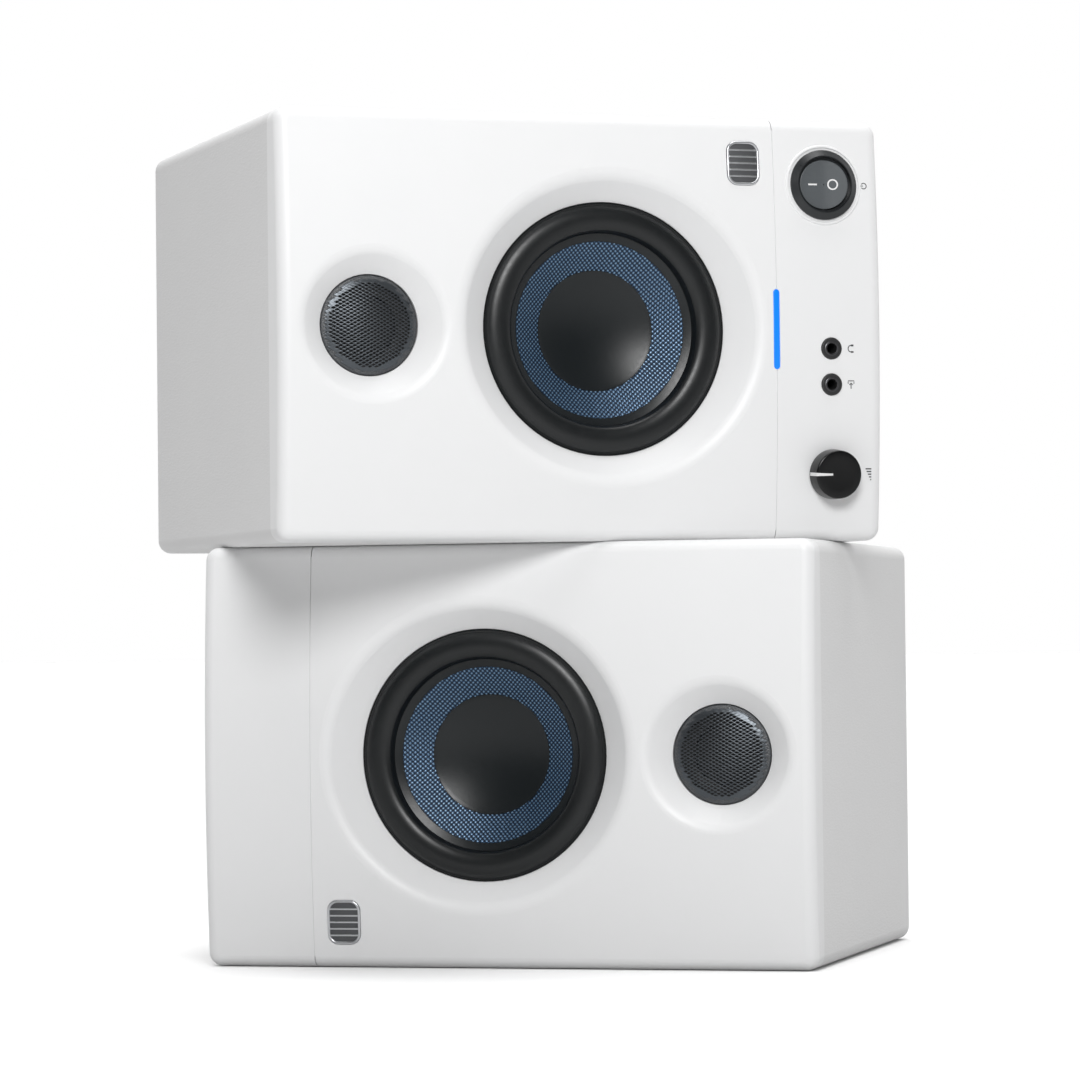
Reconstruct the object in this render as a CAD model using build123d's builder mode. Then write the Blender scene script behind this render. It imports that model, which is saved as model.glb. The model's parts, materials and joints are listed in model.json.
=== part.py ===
"""A pair of two-way desktop speakers, stacked on their sides.

Each speaker is modelled standing up in its own frame, in millimetres: X to the right as seen from
the front, Y towards the back with 0 at the front's side edges, and Z up from its base. The passive
speaker is then laid on its side, and the active one is laid on top of it and turned a little. The
pair's own frame has +Z up and its origin at the centre of the face that the lower speaker rests on.
"""

from math import asin, copysign, cos, radians, sin, sqrt
import os

from build123d import *

os.makedirs("parts", exist_ok=True)

# ---------------------------------------------------------------- driving dimensions
WIDTH = 141.0
HEIGHT = 210.0
DEPTH = 166.0
CROWN = 3.4  # how far the front bows out across its width
CORNER_R = 4.5
RIM_R = 4.0
BACK_R = 3.0
WALL = 9.0
BAFFLE_BACK = 10.0  # joint line between the baffle and the cabinet
BOSS_BACK = 14.0  # back of the step that locates the baffle inside the cabinet
SEAM_Z = 38.35
SEAM_GAP = 0.3
CLEAR = 0.3

TURN = 33.6  # how far the upper speaker is turned, in degrees
UPPER_X = 29.9
UPPER_Y = -3.8

WOOFER_Z = 96.0
WOOFER_R = 42.2
WOOFER_SEAT = 6.3
WOOFER_FLARE_ANGLE = 44.0
WOOFER_FLARE_R = 6.0
TWEETER_Z = 178.0
TWEETER_R = 16.7
TWEETER_SEAT = 3.5
TWEETER_FLARE_ANGLE = 41.0
TWEETER_FLARE_R = 5.0

BADGE_X = 55.4
BADGE_Z = 49.0
BADGE_SIZE = (14.8, 11.5)
BADGE_SINK = 0.6
BADGE_CORNER = 3.6

KNOB_X = -48.3
KNOB_Z = 18.5
AUX_X = -18.3
PHONES_X = -6.25
JACK_Z = 18.8
SWITCH_X = 48.7
SWITCH_Z = 20.5
SWITCH_BARREL_R = 9.9
BEZEL_RISE = 2.0
BEZEL_MOUTH_R = 9.4
ROCKER_R = 8.3
ROCKER_PIVOT = -1.0  # height of the rocker's pin above the panel
ROCKER_TILT = 6.0
ROCKER_END = 2.6  # heights of the rocker's face above its pin, at its ends and at its middle
ROCKER_MIDDLE = 1.9
LIGHT_SIZE = (26.7, 2.2)
SHAFT_R = 3.0
SHAFT_CLEAR = 0.05

PORT_Z = 172.0
PORT_R = 15.0
PORT_WALL = 2.5
PORT_LENGTH = 50.0
PLATE_T = 1.5
PANEL_SIZE = (104.0, 124.0)
PANEL_Z = 78.0
LEDGE = 6.0
SCREW_R = 1.2
TERMINAL_SIZE = (36.0, 26.0)
TERMINAL_PROUD = 7.0
LEVER_SIZE = (12.0, 13.0)
LEVER_T = 3.0
LEVER_PITCH = 17.0
LEVER_PIN_R = 1.0
ACTIVE_TERMINAL = (-26.0, 88.0)
PASSIVE_TERMINAL = (0.0, 70.0)
PASSIVE_PLATE_SIZE = (72.0, 58.0)
LINE_JACKS_X = (30.0, 10.0)
PHONO_X = (-22.0, -38.0)
INPUTS_Z = 122.0
TONE_X = (30.0, 10.0)
TONE_Z = 96.0
INLET_X = 22.0
INLET_Z = 46.0
INLET_CAVITY = (24.0, 16.4)
INLET_DEPTH = 15.0
BOARD_T = 1.6
AMP_BOARD_BACK = 142.0

CROWN_R = (CROWN**2 + (WIDTH / 2) ** 2) / (2 * CROWN)
BACK = DEPTH
INSIDE_BACK = DEPTH - WALL
BOSS_X = WIDTH - 2 * WALL - 2 * CLEAR
BOSS_Z = HEIGHT - 2 * WALL - 2 * CLEAR

# ---------------------------------------------------------------- where each speaker lies
LOWER = Location((-HEIGHT / 2, -DEPTH / 2, WIDTH / 2), (0, 90, 0))
UPPER = Location((UPPER_X, UPPER_Y - DEPTH / 2, 0), (0, 0, TURN)) * Location(
    (HEIGHT / 2, 0, WIDTH * 1.5), (0, -90, 0)
)


def facing(x, depth, z):
    """Plane across the speaker that looks out of its front, with X right and Y up."""
    return Plane(origin=(x, depth, z), x_dir=(1, 0, 0), z_dir=(0, -1, 0))


def on_front(x, z, lift=0.0):
    """Plane that lies on the crowned front at x and z, or lifted off it."""
    lean = asin(x / CROWN_R)
    out = (sin(lean), -cos(lean))
    origin = (x + lift * out[0], CROWN_R - CROWN + CROWN_R * out[1] + lift * out[1], z)
    return Plane(origin=origin, x_dir=(cos(lean), sin(lean), 0), z_dir=(out[0], out[1], 0))


def turned(x, z):
    """Plane through a driver's axis: X is the radius and Y the depth."""
    return Plane(origin=(x, 0, z), x_dir=(1, 0, 0), z_dir=(0, 0, 1))


def axis_at(x, z):
    """Axis of a driver, port or jack, straight through the speaker."""
    return Axis((x, 0, z), (0, 1, 0))


def turn(corners, x, z):
    """A ring, cup or disc turned from the corners (radius, depth) about the axis at x, z."""
    with BuildPart() as piece:
        with BuildSketch(turned(x, z)):
            with BuildLine():
                Polyline(*corners, close=True)
            make_face()
        revolve(axis=axis_at(x, z))
    return piece


def dome(reach, middle, edge):
    """Shallow arc from the axis out to the radius reach, level where it meets the axis."""
    drop = edge - middle
    radius = (reach**2 + drop**2) / (2 * abs(drop))
    halfway = middle + copysign(radius - sqrt(radius**2 - reach**2 / 4), drop)
    return ThreePointArc((0, middle), (reach / 2, halfway), (reach, edge))


def save(piece, node, place):
    """Name a finished piece, set it where its speaker lies and write it."""
    placed = piece.part.moved(place)
    placed.label = node
    export_step(placed, f"parts/{node}.step")


# ---------------------------------------------------------------- front
def front_block():
    """The whole front moulding with its two flares, before the seam divides it."""
    with BuildPart() as block:
        with BuildSketch(Plane.XY):
            with BuildLine():
                ThreePointArc((-WIDTH / 2, 0), (0, -CROWN), (WIDTH / 2, 0))
                Polyline(
                    (WIDTH / 2, 0),
                    (WIDTH / 2, BAFFLE_BACK),
                    (-WIDTH / 2, BAFFLE_BACK),
                    (-WIDTH / 2, 0),
                )
            make_face()
        extrude(amount=HEIGHT)
        fillet(block.edges().filter_by(Axis.Y), CORNER_R)
        fillet(block.faces().sort_by(Axis.Y)[0].outer_wire().edges(), RIM_R)
        with BuildSketch(facing(0, BOSS_BACK, HEIGHT / 2)):
            RectangleRounded(BOSS_X, BOSS_Z, CORNER_R)
        extrude(amount=BOSS_BACK - BAFFLE_BACK)
        for z, radius, seat, angle in (
            (WOOFER_Z, WOOFER_R, WOOFER_SEAT, WOOFER_FLARE_ANGLE),
            (TWEETER_Z, TWEETER_R, TWEETER_SEAT, TWEETER_FLARE_ANGLE),
        ):
            rise = seat + 2 * CROWN
            run = rise * cos(radians(angle)) / sin(radians(angle))
            with BuildSketch(turned(0, z)):
                with BuildLine():
                    Polyline(
                        (0, -2 * CROWN), (0, seat), (radius, seat), (radius + run, -2 * CROWN), close=True
                    )
                make_face()
            revolve(axis=axis_at(0, z), mode=Mode.SUBTRACT)
        front = block.faces().sort_by(Axis.Y)[0]
        rims = front.inner_wires().sort_by(Axis.Z)
        fillet(rims[0].edges(), WOOFER_FLARE_R)
        front = block.faces().filter_by(GeomType.CYLINDER).sort_by(Axis.Y)[0]
        rims = front.inner_wires().sort_by(Axis.Z)
        fillet(rims[-1].edges(), TWEETER_FLARE_R)
        for z, radius, depth in (
            (WOOFER_Z, WOOFER_R, WOOFER_SEAT + 2.5),
            (WOOFER_Z, WOOFER_R - 4.2, BOSS_BACK),
            (TWEETER_Z, TWEETER_R, TWEETER_SEAT + 4.5),
            (TWEETER_Z, TWEETER_R - 2.0, BOSS_BACK),
        ):
            with BuildSketch(facing(0, depth, z)):
                Circle(radius)
            extrude(amount=depth, mode=Mode.SUBTRACT)
        with BuildSketch(on_front(BADGE_X, BADGE_Z, -BADGE_SINK)):
            RectangleRounded(BADGE_SIZE[0] + 0.2, BADGE_SIZE[1] + 0.2, BADGE_CORNER + 0.1)
        extrude(amount=CROWN, mode=Mode.SUBTRACT)
    return block


def baffle(block):
    """The part of the front above the seam."""
    with BuildPart() as upper:
        add(block.part)
        split(bisect_by=Plane.XY.offset(SEAM_Z + SEAM_GAP / 2), keep=Keep.TOP)
    return upper


def lower_strip(block):
    """The part of the front below the seam, hollow behind."""
    with BuildPart() as strip:
        add(block.part)
        split(bisect_by=Plane.XY.offset(SEAM_Z - SEAM_GAP / 2), keep=Keep.BOTTOM)
        with BuildSketch(facing(0, BOSS_BACK, 22.5)):
            Rectangle(114, 21)
        extrude(amount=BOSS_BACK - 1.4, mode=Mode.SUBTRACT)
    return strip


def light_slot(piece):
    """The same piece with the slot for the light bar cut into it."""
    with BuildPart() as slotted:
        add(piece.part)
        with BuildSketch(facing(0, 1.4, SEAM_Z)):
            SlotOverall(LIGHT_SIZE[0] + 0.1, LIGHT_SIZE[1] + 0.1)
        extrude(amount=2 * CROWN, mode=Mode.SUBTRACT)
    return slotted


def control_panel(strip):
    """The lower strip with holes for the knob's shaft, the two jacks and the switch."""
    with BuildPart() as panel:
        add(strip.part)
        for x, z, radius in (
            (AUX_X, JACK_Z, 3.75),
            (PHONES_X, JACK_Z, 3.75),
        ):
            with BuildSketch(facing(x, BOSS_BACK, z)):
                Circle(radius)
            extrude(amount=3 * BOSS_BACK, mode=Mode.SUBTRACT)
        for x, z, radius in (
            (KNOB_X, KNOB_Z, 3.6),
            (SWITCH_X, SWITCH_Z, SWITCH_BARREL_R + 0.1),
        ):
            with BuildSketch(on_front(x, z, -2 * BOSS_BACK)):
                Circle(radius)
            extrude(amount=3 * BOSS_BACK, mode=Mode.SUBTRACT)
    return panel


def badge():
    """Rounded plate with a raised rim and five plain bars from side to side."""
    with BuildPart() as plate:
        with BuildSketch(on_front(BADGE_X, BADGE_Z, -BADGE_SINK)):
            RectangleRounded(*BADGE_SIZE, BADGE_CORNER)
        extrude(amount=BADGE_SINK + 0.5)
        with BuildSketch(on_front(BADGE_X, BADGE_Z, 0.1)):
            RectangleRounded(BADGE_SIZE[0] - 1.7, BADGE_SIZE[1] - 1.7, BADGE_CORNER - 0.85)
        extrude(amount=1, mode=Mode.SUBTRACT)
        with BuildSketch(on_front(BADGE_X, BADGE_Z, 0.1)):
            with GridLocations(2.2, 1, 5, 1):
                Rectangle(0.6, BADGE_SIZE[1] - 1.5)
        extrude(amount=0.3)
    return plate


# ---------------------------------------------------------------- cabinet
def cabinet(openings):
    """Wooden box, open at the front, with the cuts that its back needs."""
    with BuildPart() as box:
        with BuildSketch(facing(0, BACK, HEIGHT / 2)):
            RectangleRounded(WIDTH, HEIGHT, CORNER_R)
        extrude(amount=BACK - BAFFLE_BACK)
        fillet(box.faces().sort_by(Axis.Y)[-1].outer_wire().edges(), BACK_R)
        with BuildSketch(facing(0, INSIDE_BACK, HEIGHT / 2)):
            Rectangle(WIDTH - 2 * WALL, HEIGHT - 2 * WALL)
        extrude(amount=INSIDE_BACK, mode=Mode.SUBTRACT)
        with BuildSketch(facing(0, BACK + 1, PORT_Z)):
            Circle(PORT_R + PORT_WALL + 0.1)
        extrude(amount=WALL + 2, mode=Mode.SUBTRACT)
        for x, z, width, height in openings:
            with BuildSketch(facing(x, BACK + 1, z)):
                Rectangle(width, height)
            extrude(amount=WALL + 2, mode=Mode.SUBTRACT)
    return box


def port_tube():
    """Flared bass port that opens at the back."""
    outer = PORT_R + PORT_WALL
    with BuildPart() as tube:
        with BuildSketch(turned(0, PORT_Z)):
            with BuildLine():
                Polyline(
                    (PORT_R, BACK - 4),
                    (PORT_R, BACK + 2 - PORT_LENGTH),
                    (outer, BACK + 2 - PORT_LENGTH),
                    (outer, BACK),
                    (PORT_R + 8.0, BACK),
                    (PORT_R + 8.0, BACK + 1.2),
                    (PORT_R + 7.2, BACK + 2),
                    (PORT_R + 6.0, BACK + 2),
                )
                ThreePointArc(
                    (PORT_R + 6.0, BACK + 2),
                    (PORT_R + 6.0 - 6.0 * cos(radians(45)), BACK - 4 + 6.0 * sin(radians(45))),
                    (PORT_R, BACK - 4),
                )
            make_face()
        revolve(axis=axis_at(0, PORT_Z))
    return tube


def screws(places, depth, length):
    """Cross-head screws driven in from behind, as one group."""
    with BuildPart() as group:
        with BuildSketch(facing(0, depth, 0)):
            with Locations(*places):
                Circle(3.0)
        extrude(amount=-1.8)
        fillet(group.edges().filter_by(GeomType.CIRCLE).group_by(Axis.Y)[-1], 0.8)
        with BuildSketch(facing(0, depth, 0)):
            with Locations(*places):
                Circle(SCREW_R)
        extrude(amount=length)
        with BuildSketch(facing(0, depth + 1.8, 0)):
            with Locations(*places):
                Rectangle(3.2, 0.7)
                Rectangle(0.7, 3.2)
        extrude(amount=0.9, mode=Mode.SUBTRACT)
    return group


def drilled(piece, places, depth):
    """The same piece with a hole for each screw, from behind."""
    with BuildPart() as plate:
        add(piece.part)
        with BuildSketch(facing(0, depth, 0)):
            with Locations(*places):
                Circle(SCREW_R + SHAFT_CLEAR)
        extrude(amount=9, mode=Mode.SUBTRACT)
    return plate


# ---------------------------------------------------------------- woofer
def woofer_basket():
    """Pressed frame: flat front ring, landing for the surround, spokes and a shelf."""
    seat = WOOFER_SEAT
    basket = turn(
        [
            (42.0, seat),
            (42.0, seat + 2.5),
            (37.6, seat + 2.5),
            (33.0, 27.5),
            (27.8, 27.5),
            (27.8, 32.0),
            (12.5, 32.0),
            (12.5, 30.8),
            (26.5, 30.8),
            (26.5, 26.0),
            (32.0, 26.0),
            (36.4, seat + 2.2),
            (36.4, seat + 1.0),
            (40.0, seat + 1.0),
            (40.0, seat),
        ],
        0,
        WOOFER_Z,
    )
    with BuildPart() as frame:
        add(basket.part)
        with BuildSketch(facing(0, 24.0, WOOFER_Z)):
            with PolarLocations(35.0, 6):
                Rectangle(14.0, 20.0)
        extrude(amount=11.0, mode=Mode.SUBTRACT)
    return frame


def woofer_magnet():
    """Top plate, ferrite ring and back plate with the pole piece."""
    return turn(
        [
            (0, 28.0),
            (9.1, 28.0),
            (9.1, 46.0),
            (15.0, 46.0),
            (15.0, 36.0),
            (11.1, 36.0),
            (11.1, 32.0),
            (26.0, 32.0),
            (26.0, 36.0),
            (28.5, 36.0),
            (28.5, 46.0),
            (26.0, 46.0),
            (26.0, 50.0),
            (0, 50.0),
        ],
        0,
        WOOFER_Z,
    )


def woofer_cone():
    """Shallow cone with a flatter edge band."""
    return turn(
        [
            (33.2, 9.0),
            (29.3, 11.1),
            (19.7, 16.25),
            (10.1, 21.35),
            (10.1, 22.45),
            (19.7, 17.25),
            (29.3, 12.1),
            (33.2, 10.0),
        ],
        0,
        WOOFER_Z,
    )


def woofer_dust_cap():
    """Dished cap that closes the middle of the cone."""
    with BuildPart() as cap:
        with BuildSketch(turned(0, WOOFER_Z)):
            with BuildLine():
                Line((0, 19.15), (0, 19.75))
                dome(19.7, 19.75, 16.25)
                Line((19.7, 16.25), (19.7, 15.65))
                dome(19.7, 19.15, 15.65)
            make_face()
        revolve(axis=axis_at(0, WOOFER_Z))
    return cap


def woofer_voice_coil():
    """Former with the winding near its far end."""
    return turn(
        [
            (9.8, 21.9),
            (10.1, 21.9),
            (10.1, 30.0),
            (10.5, 30.0),
            (10.5, 39.0),
            (10.1, 39.0),
            (10.1, 40.0),
            (9.8, 40.0),
        ],
        0,
        WOOFER_Z,
    )


def woofer_surround():
    """Rubber half-roll between the frame's landing and the cone's edge."""
    with BuildPart() as surround:
        with BuildSketch(turned(0, WOOFER_Z)):
            with BuildLine():
                Line((39.8, 6.88), (38.8, 6.88))
                ThreePointArc((38.8, 6.88), (35.3, 4.9), (33.4, 8.35))
                Line((33.4, 8.35), (31.9, 9.15))
            trace(line_width=0.8)
        revolve(axis=axis_at(0, WOOFER_Z))
    return surround


def woofer_spider():
    """Pleated cloth ring that centres the coil."""
    pleats = [(26.0 - 2.0 * step, 26.5 if step % 2 else 24.7) for step in range(8)]
    with BuildPart() as spider:
        with BuildSketch(turned(0, WOOFER_Z)):
            with BuildLine():
                Polyline((31.2, 25.6), (27.0, 25.6), *pleats, (11.2, 25.6), (10.2, 25.6))
            trace(line_width=0.5)
        revolve(axis=axis_at(0, WOOFER_Z))
    return spider


# ---------------------------------------------------------------- tweeter
def tweeter_housing():
    """Ring behind the grille with the tube that holds the magnet."""
    return turn(
        [
            (16.5, 6.0),
            (16.5, 8.0),
            (14.5, 8.0),
            (14.5, 17.0),
            (13.05, 17.0),
            (13.05, 8.8),
            (10.2, 8.8),
            (10.2, 7.4),
            (12.5, 6.0),
        ],
        0,
        TWEETER_Z,
    )


def tweeter_magnet():
    """Pot magnet with a ring gap for the coil."""
    return turn(
        [(0, 8.9), (8.9, 8.9), (8.9, 15.0), (10.4, 15.0), (10.4, 8.9), (13.0, 8.9), (13.0, 19.0), (0, 19.0)],
        0,
        TWEETER_Z,
    )


def tweeter_dome():
    """Soft dome with its coil."""
    with BuildPart() as diaphragm:
        with BuildSketch(turned(0, TWEETER_Z)):
            with BuildLine():
                dome(9.7, 4.2, 7.8)
                Line((9.7, 7.8), (9.7, 12.6))
                Line((9.7, 12.6), (9.3, 12.6))
                Line((9.3, 12.6), (9.3, 8.2))
                dome(9.3, 4.7, 8.2)
                Line((0, 4.7), (0, 4.2))
            make_face()
        revolve(axis=axis_at(0, TWEETER_Z))
    return diaphragm


def tweeter_grille():
    """Domed protective grille with a rolled rim."""
    with BuildPart() as grille:
        with BuildSketch(turned(0, TWEETER_Z)):
            with BuildLine():
                dome(15.2, 0.3, 3.6)
                ThreePointArc((15.2, 3.6), (16.15, 3.85), (16.5, 4.6))
                Line((16.5, 4.6), (16.5, 6.0))
                Line((16.5, 6.0), (15.2, 6.0))
                Line((15.2, 6.0), (15.2, 4.2))
                dome(15.2, 0.9, 4.2)
                Line((0, 0.9), (0, 0.3))
            make_face()
        revolve(axis=axis_at(0, TWEETER_Z))
    return grille


# ---------------------------------------------------------------- controls of the active speaker
def light_bar():
    """Clear bar that sits in the seam."""
    with BuildPart() as bar:
        with BuildSketch(facing(0, 1.4, SEAM_Z)):
            SlotOverall(*LIGHT_SIZE)
        extrude(amount=CROWN + 1.3)
    return bar


def led_board():
    """Small board with the lamp that lights the bar."""
    with BuildPart() as board:
        with BuildSketch(facing(0, BOSS_BACK + BOARD_T, SEAM_Z + 6)):
            Rectangle(30, 14)
        extrude(amount=BOARD_T)
        with BuildSketch(facing(0, BOSS_BACK + BOARD_T, SEAM_Z + 6)):
            with GridLocations(10, 0, 3, 1):
                Rectangle(4, 2)
        extrude(amount=-1.0)
    return board


def front_jack(x):
    """Headphone-size socket: threaded nose through the panel and a square body."""
    with BuildPart() as jack:
        with BuildSketch(facing(x, 1.5, JACK_Z)):
            Circle(3.7)
        extrude(amount=CROWN + 1.5 + 0.4)
        fillet(jack.edges().sort_by(Axis.Y)[0], 0.5)
        with BuildSketch(facing(x, 12.8, JACK_Z)):
            RectangleRounded(9.6, 9.6, 0.8)
        extrude(amount=12.8 - 1.5)
        with BuildSketch(facing(x, 11.3, JACK_Z)):
            Circle(1.8)
        extrude(amount=2 * 12.8, mode=Mode.SUBTRACT)
    return jack


def volume_pot():
    """Potentiometer body with the bush that guides the shaft."""
    with BuildPart() as pot:
        with BuildSketch(on_front(KNOB_X, KNOB_Z, -14.0)):
            RectangleRounded(12, 12, 1)
        extrude(amount=7.0)
        with BuildSketch(on_front(KNOB_X, KNOB_Z, -7.0)):
            Circle(3.5)
        extrude(amount=6.8)
        with BuildSketch(on_front(KNOB_X, KNOB_Z, -12.5)):
            Circle(SHAFT_R + SHAFT_CLEAR)
        extrude(amount=14.0, mode=Mode.SUBTRACT)
    return pot


def volume_shaft():
    """Flatted shaft that the knob is pushed onto."""
    with BuildPart() as shaft:
        with BuildSketch(on_front(KNOB_X, KNOB_Z, -12.0)):
            Circle(SHAFT_R)
        extrude(amount=12.0 + 5.0)
        with BuildSketch(on_front(KNOB_X, KNOB_Z, 0.3)):
            with Locations((0, -SHAFT_R - 1.5)):
                Rectangle(8, 6)
        extrude(amount=6, mode=Mode.SUBTRACT)
    return shaft


def volume_knob():
    """Tapered knob with a flatted hole."""
    with BuildPart() as knob:
        with BuildSketch(on_front(KNOB_X, KNOB_Z, 0.5)):
            Circle(8.4)
        with BuildSketch(on_front(KNOB_X, KNOB_Z, 6.6)):
            Circle(8.05)
        loft()
        fillet(knob.edges().sort_by(Axis.Y)[0], 0.7)
        with BuildSketch(on_front(KNOB_X, KNOB_Z, 0.5)):
            Circle(SHAFT_R + 0.02)
            with Locations((0, -SHAFT_R - 1.52)):
                Rectangle(8, 6, mode=Mode.SUBTRACT)
        extrude(amount=4.52, mode=Mode.SUBTRACT)
    return knob


def switch_body():
    """Round switch case: sloped bezel with a trough, barrel with pin holes and three tabs behind."""
    with BuildPart() as case:
        with BuildSketch(on_front(SWITCH_X, SWITCH_Z)):
            Circle(11.8)
        extrude(amount=0.6)
        with BuildSketch(on_front(SWITCH_X, SWITCH_Z, 0.6)):
            Circle(11.8)
        with BuildSketch(on_front(SWITCH_X, SWITCH_Z, BEZEL_RISE)):
            Circle(BEZEL_MOUTH_R + 0.3)
        loft()
        with BuildSketch(on_front(SWITCH_X, SWITCH_Z, -16.0)):
            Circle(SWITCH_BARREL_R)
        extrude(amount=16.0)
        with BuildSketch(on_front(SWITCH_X, SWITCH_Z, -11.0)):
            Circle(ROCKER_R + CLEAR)
        extrude(amount=16.0, mode=Mode.SUBTRACT)
        with BuildSketch(on_front(SWITCH_X, SWITCH_Z, 0.4)):
            Circle(BEZEL_MOUTH_R)
        extrude(amount=BEZEL_RISE, mode=Mode.SUBTRACT)
        pin_plane = Plane(
            origin=on_front(SWITCH_X, SWITCH_Z, ROCKER_PIVOT).origin,
            x_dir=(0, 0, 1),
            z_dir=on_front(SWITCH_X, SWITCH_Z).x_dir,
        )
        with BuildSketch(pin_plane):
            Circle(1.0 + SHAFT_CLEAR)
        extrude(amount=9.3, both=True, mode=Mode.SUBTRACT)
        with BuildSketch(on_front(SWITCH_X, SWITCH_Z, -16.0)):
            with GridLocations(0, 6.5, 1, 3):
                Rectangle(4.8, 0.8)
        extrude(amount=-7.0)
    return case


def rocker():
    """Rocker with a shallow V across its face, leaning to its upper side, on two pins."""
    seat = on_front(SWITCH_X, SWITCH_Z, ROCKER_PIVOT)
    up = seat.y_dir.rotate(Axis((0, 0, 0), seat.x_dir), -ROCKER_TILT)
    side = Plane(origin=seat.origin, x_dir=up, z_dir=seat.x_dir)
    with BuildPart() as button:
        with BuildSketch(side):
            with BuildLine():
                Polyline(
                    (9, -4.2), (9, ROCKER_END), (0, ROCKER_MIDDLE), (-9, ROCKER_END), (-9, -4.2), close=True
                )
            make_face()
        extrude(amount=9, both=True)
        with Locations(seat.location):
            Sphere(ROCKER_R, mode=Mode.INTERSECT)
        with BuildSketch(side):
            Circle(1.0)
        extrude(amount=9.2, both=True)
    return button


def control_board():
    """Board behind the panel that carries the pot and the jacks."""
    with BuildPart() as board:
        with BuildSketch(facing(-14.0, BOSS_BACK + BOARD_T, 22.0)):
            Rectangle(92, 18)
        extrude(amount=BOARD_T)
        with BuildSketch(facing(-14.0, BOSS_BACK + BOARD_T, 22.0)):
            with Locations((-20, 0), (26, 2)):
                Rectangle(9, 7)
            with Locations((10, 3), (34, -3)):
                Circle(3)
        extrude(amount=-6.0)
    return board


# ---------------------------------------------------------------- back of both speakers
def terminal_block(spot, depth):
    """Housing for two push levers, with a wire hole under each."""
    x, z = spot
    face = depth + TERMINAL_PROUD
    slot_x = LEVER_SIZE[0] + 2 * CLEAR
    slot_z = LEVER_SIZE[1] + 2 * CLEAR
    with BuildPart() as block:
        with BuildSketch(facing(x, face, z)):
            RectangleRounded(*TERMINAL_SIZE, 1.5)
        extrude(amount=TERMINAL_PROUD)
        with BuildSketch(facing(x, depth, z)):
            Rectangle(TERMINAL_SIZE[0] - 3, TERMINAL_SIZE[1] - 3)
        extrude(amount=WALL)
        with BuildSketch(facing(x, face, z + 3)):
            with GridLocations(LEVER_PITCH, 0, 2, 1):
                Rectangle(slot_x, slot_z)
        extrude(amount=10.0, mode=Mode.SUBTRACT)
        with BuildSketch(facing(x, face, z - 9)):
            with GridLocations(LEVER_PITCH, 0, 2, 1):
                Circle(1.6)
        extrude(amount=12.0, mode=Mode.SUBTRACT)
        pin = lever_pin(spot, depth, 0)
        with BuildSketch(Plane(origin=pin, x_dir=(0, 1, 0), z_dir=(1, 0, 0))):
            Circle(LEVER_PIN_R + SHAFT_CLEAR)
        extrude(amount=LEVER_PITCH / 2 + LEVER_SIZE[0] / 2 + 1.5, both=True, mode=Mode.SUBTRACT)
    return block


def lever_pin(spot, depth, side):
    """Centre of a lever's pin; side is -1, 0 or 1 across the block."""
    top = spot[1] + 3 + LEVER_SIZE[1] / 2
    return (spot[0] + side * LEVER_PITCH / 2, depth + TERMINAL_PROUD - 1.0, top - LEVER_T / 2)


def lever(spot, depth, side):
    """Push lever that turns on a pin at its upper end."""
    pin = lever_pin(spot, depth, side)
    reach = LEVER_SIZE[1] - LEVER_T / 2
    across = Plane(origin=pin, x_dir=(0, 1, 0), z_dir=(1, 0, 0))
    with BuildPart() as tab:
        with BuildSketch(across):
            Circle(LEVER_T / 2)
            with Locations((0, -reach / 2)):
                Rectangle(LEVER_T, reach)
            with Locations((1.6, -reach + 1.2)):
                Rectangle(2.0, 2.4)
        extrude(amount=LEVER_SIZE[0] / 2, both=True)
        with BuildSketch(across):
            Circle(LEVER_PIN_R)
        extrude(amount=LEVER_SIZE[0] / 2 + 1.2, both=True)
    return tab


def terminal_plate():
    """Moulded plate on the passive speaker's back, with the window for its terminals."""
    x, z = PASSIVE_TERMINAL
    with BuildPart() as plate:
        with BuildSketch(facing(x, BACK, z)):
            RectangleRounded(*PASSIVE_PLATE_SIZE, 4)
        extrude(amount=-PLATE_T - 1)
        fillet(plate.faces().sort_by(Axis.Y)[-1].outer_wire().edges(), 0.8)
        with BuildSketch(facing(x, BACK + 5, z)):
            Rectangle(TERMINAL_SIZE[0] - 2.9, TERMINAL_SIZE[1] - 2.9)
        extrude(amount=9, mode=Mode.SUBTRACT)
    return plate


def crossover_board():
    """Small board with a coil and a capacitor, on the floor of the passive cabinet."""
    with BuildPart() as board:
        with BuildSketch(Plane.XY.offset(WALL)):
            with Locations((0, 110)):
                Rectangle(60, 40)
        extrude(amount=BOARD_T)
        with BuildSketch(Plane.XY.offset(WALL + BOARD_T)):
            with Locations((-15, 110)):
                Circle(12)
        extrude(amount=12)
        with BuildSketch(Plane.XY.offset(WALL + BOARD_T)):
            with Locations((-15, 110)):
                Circle(5)
        extrude(amount=12, mode=Mode.SUBTRACT)
        with BuildSketch(Plane.XY.offset(WALL + BOARD_T)):
            with Locations((15, 110)):
                RectangleRounded(20, 11, 3)
        extrude(amount=10)
    return board


def rear_panel():
    """Metal plate on the active speaker's back, with its cut-outs."""
    with BuildPart() as plate:
        with BuildSketch(facing(0, BACK, PANEL_Z)):
            RectangleRounded(*PANEL_SIZE, 4)
        extrude(amount=-PLATE_T)
        with BuildSketch(facing(0, BACK + PLATE_T, 0)):
            with Locations(*[(x, INPUTS_Z) for x in LINE_JACKS_X]):
                Circle(4.6)
            with Locations(*[(x, INPUTS_Z) for x in PHONO_X]):
                Circle(4.3)
            with Locations(*[(x, TONE_Z) for x in TONE_X]):
                Circle(3.6)
            with Locations(ACTIVE_TERMINAL):
                Rectangle(TERMINAL_SIZE[0] - 2.9, TERMINAL_SIZE[1] - 2.9)
            with Locations((INLET_X, INLET_Z)):
                Rectangle(INLET_CAVITY[0] + 3.1, INLET_CAVITY[1] + 3.1)
        extrude(amount=PLATE_T, mode=Mode.SUBTRACT)
    return plate


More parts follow.
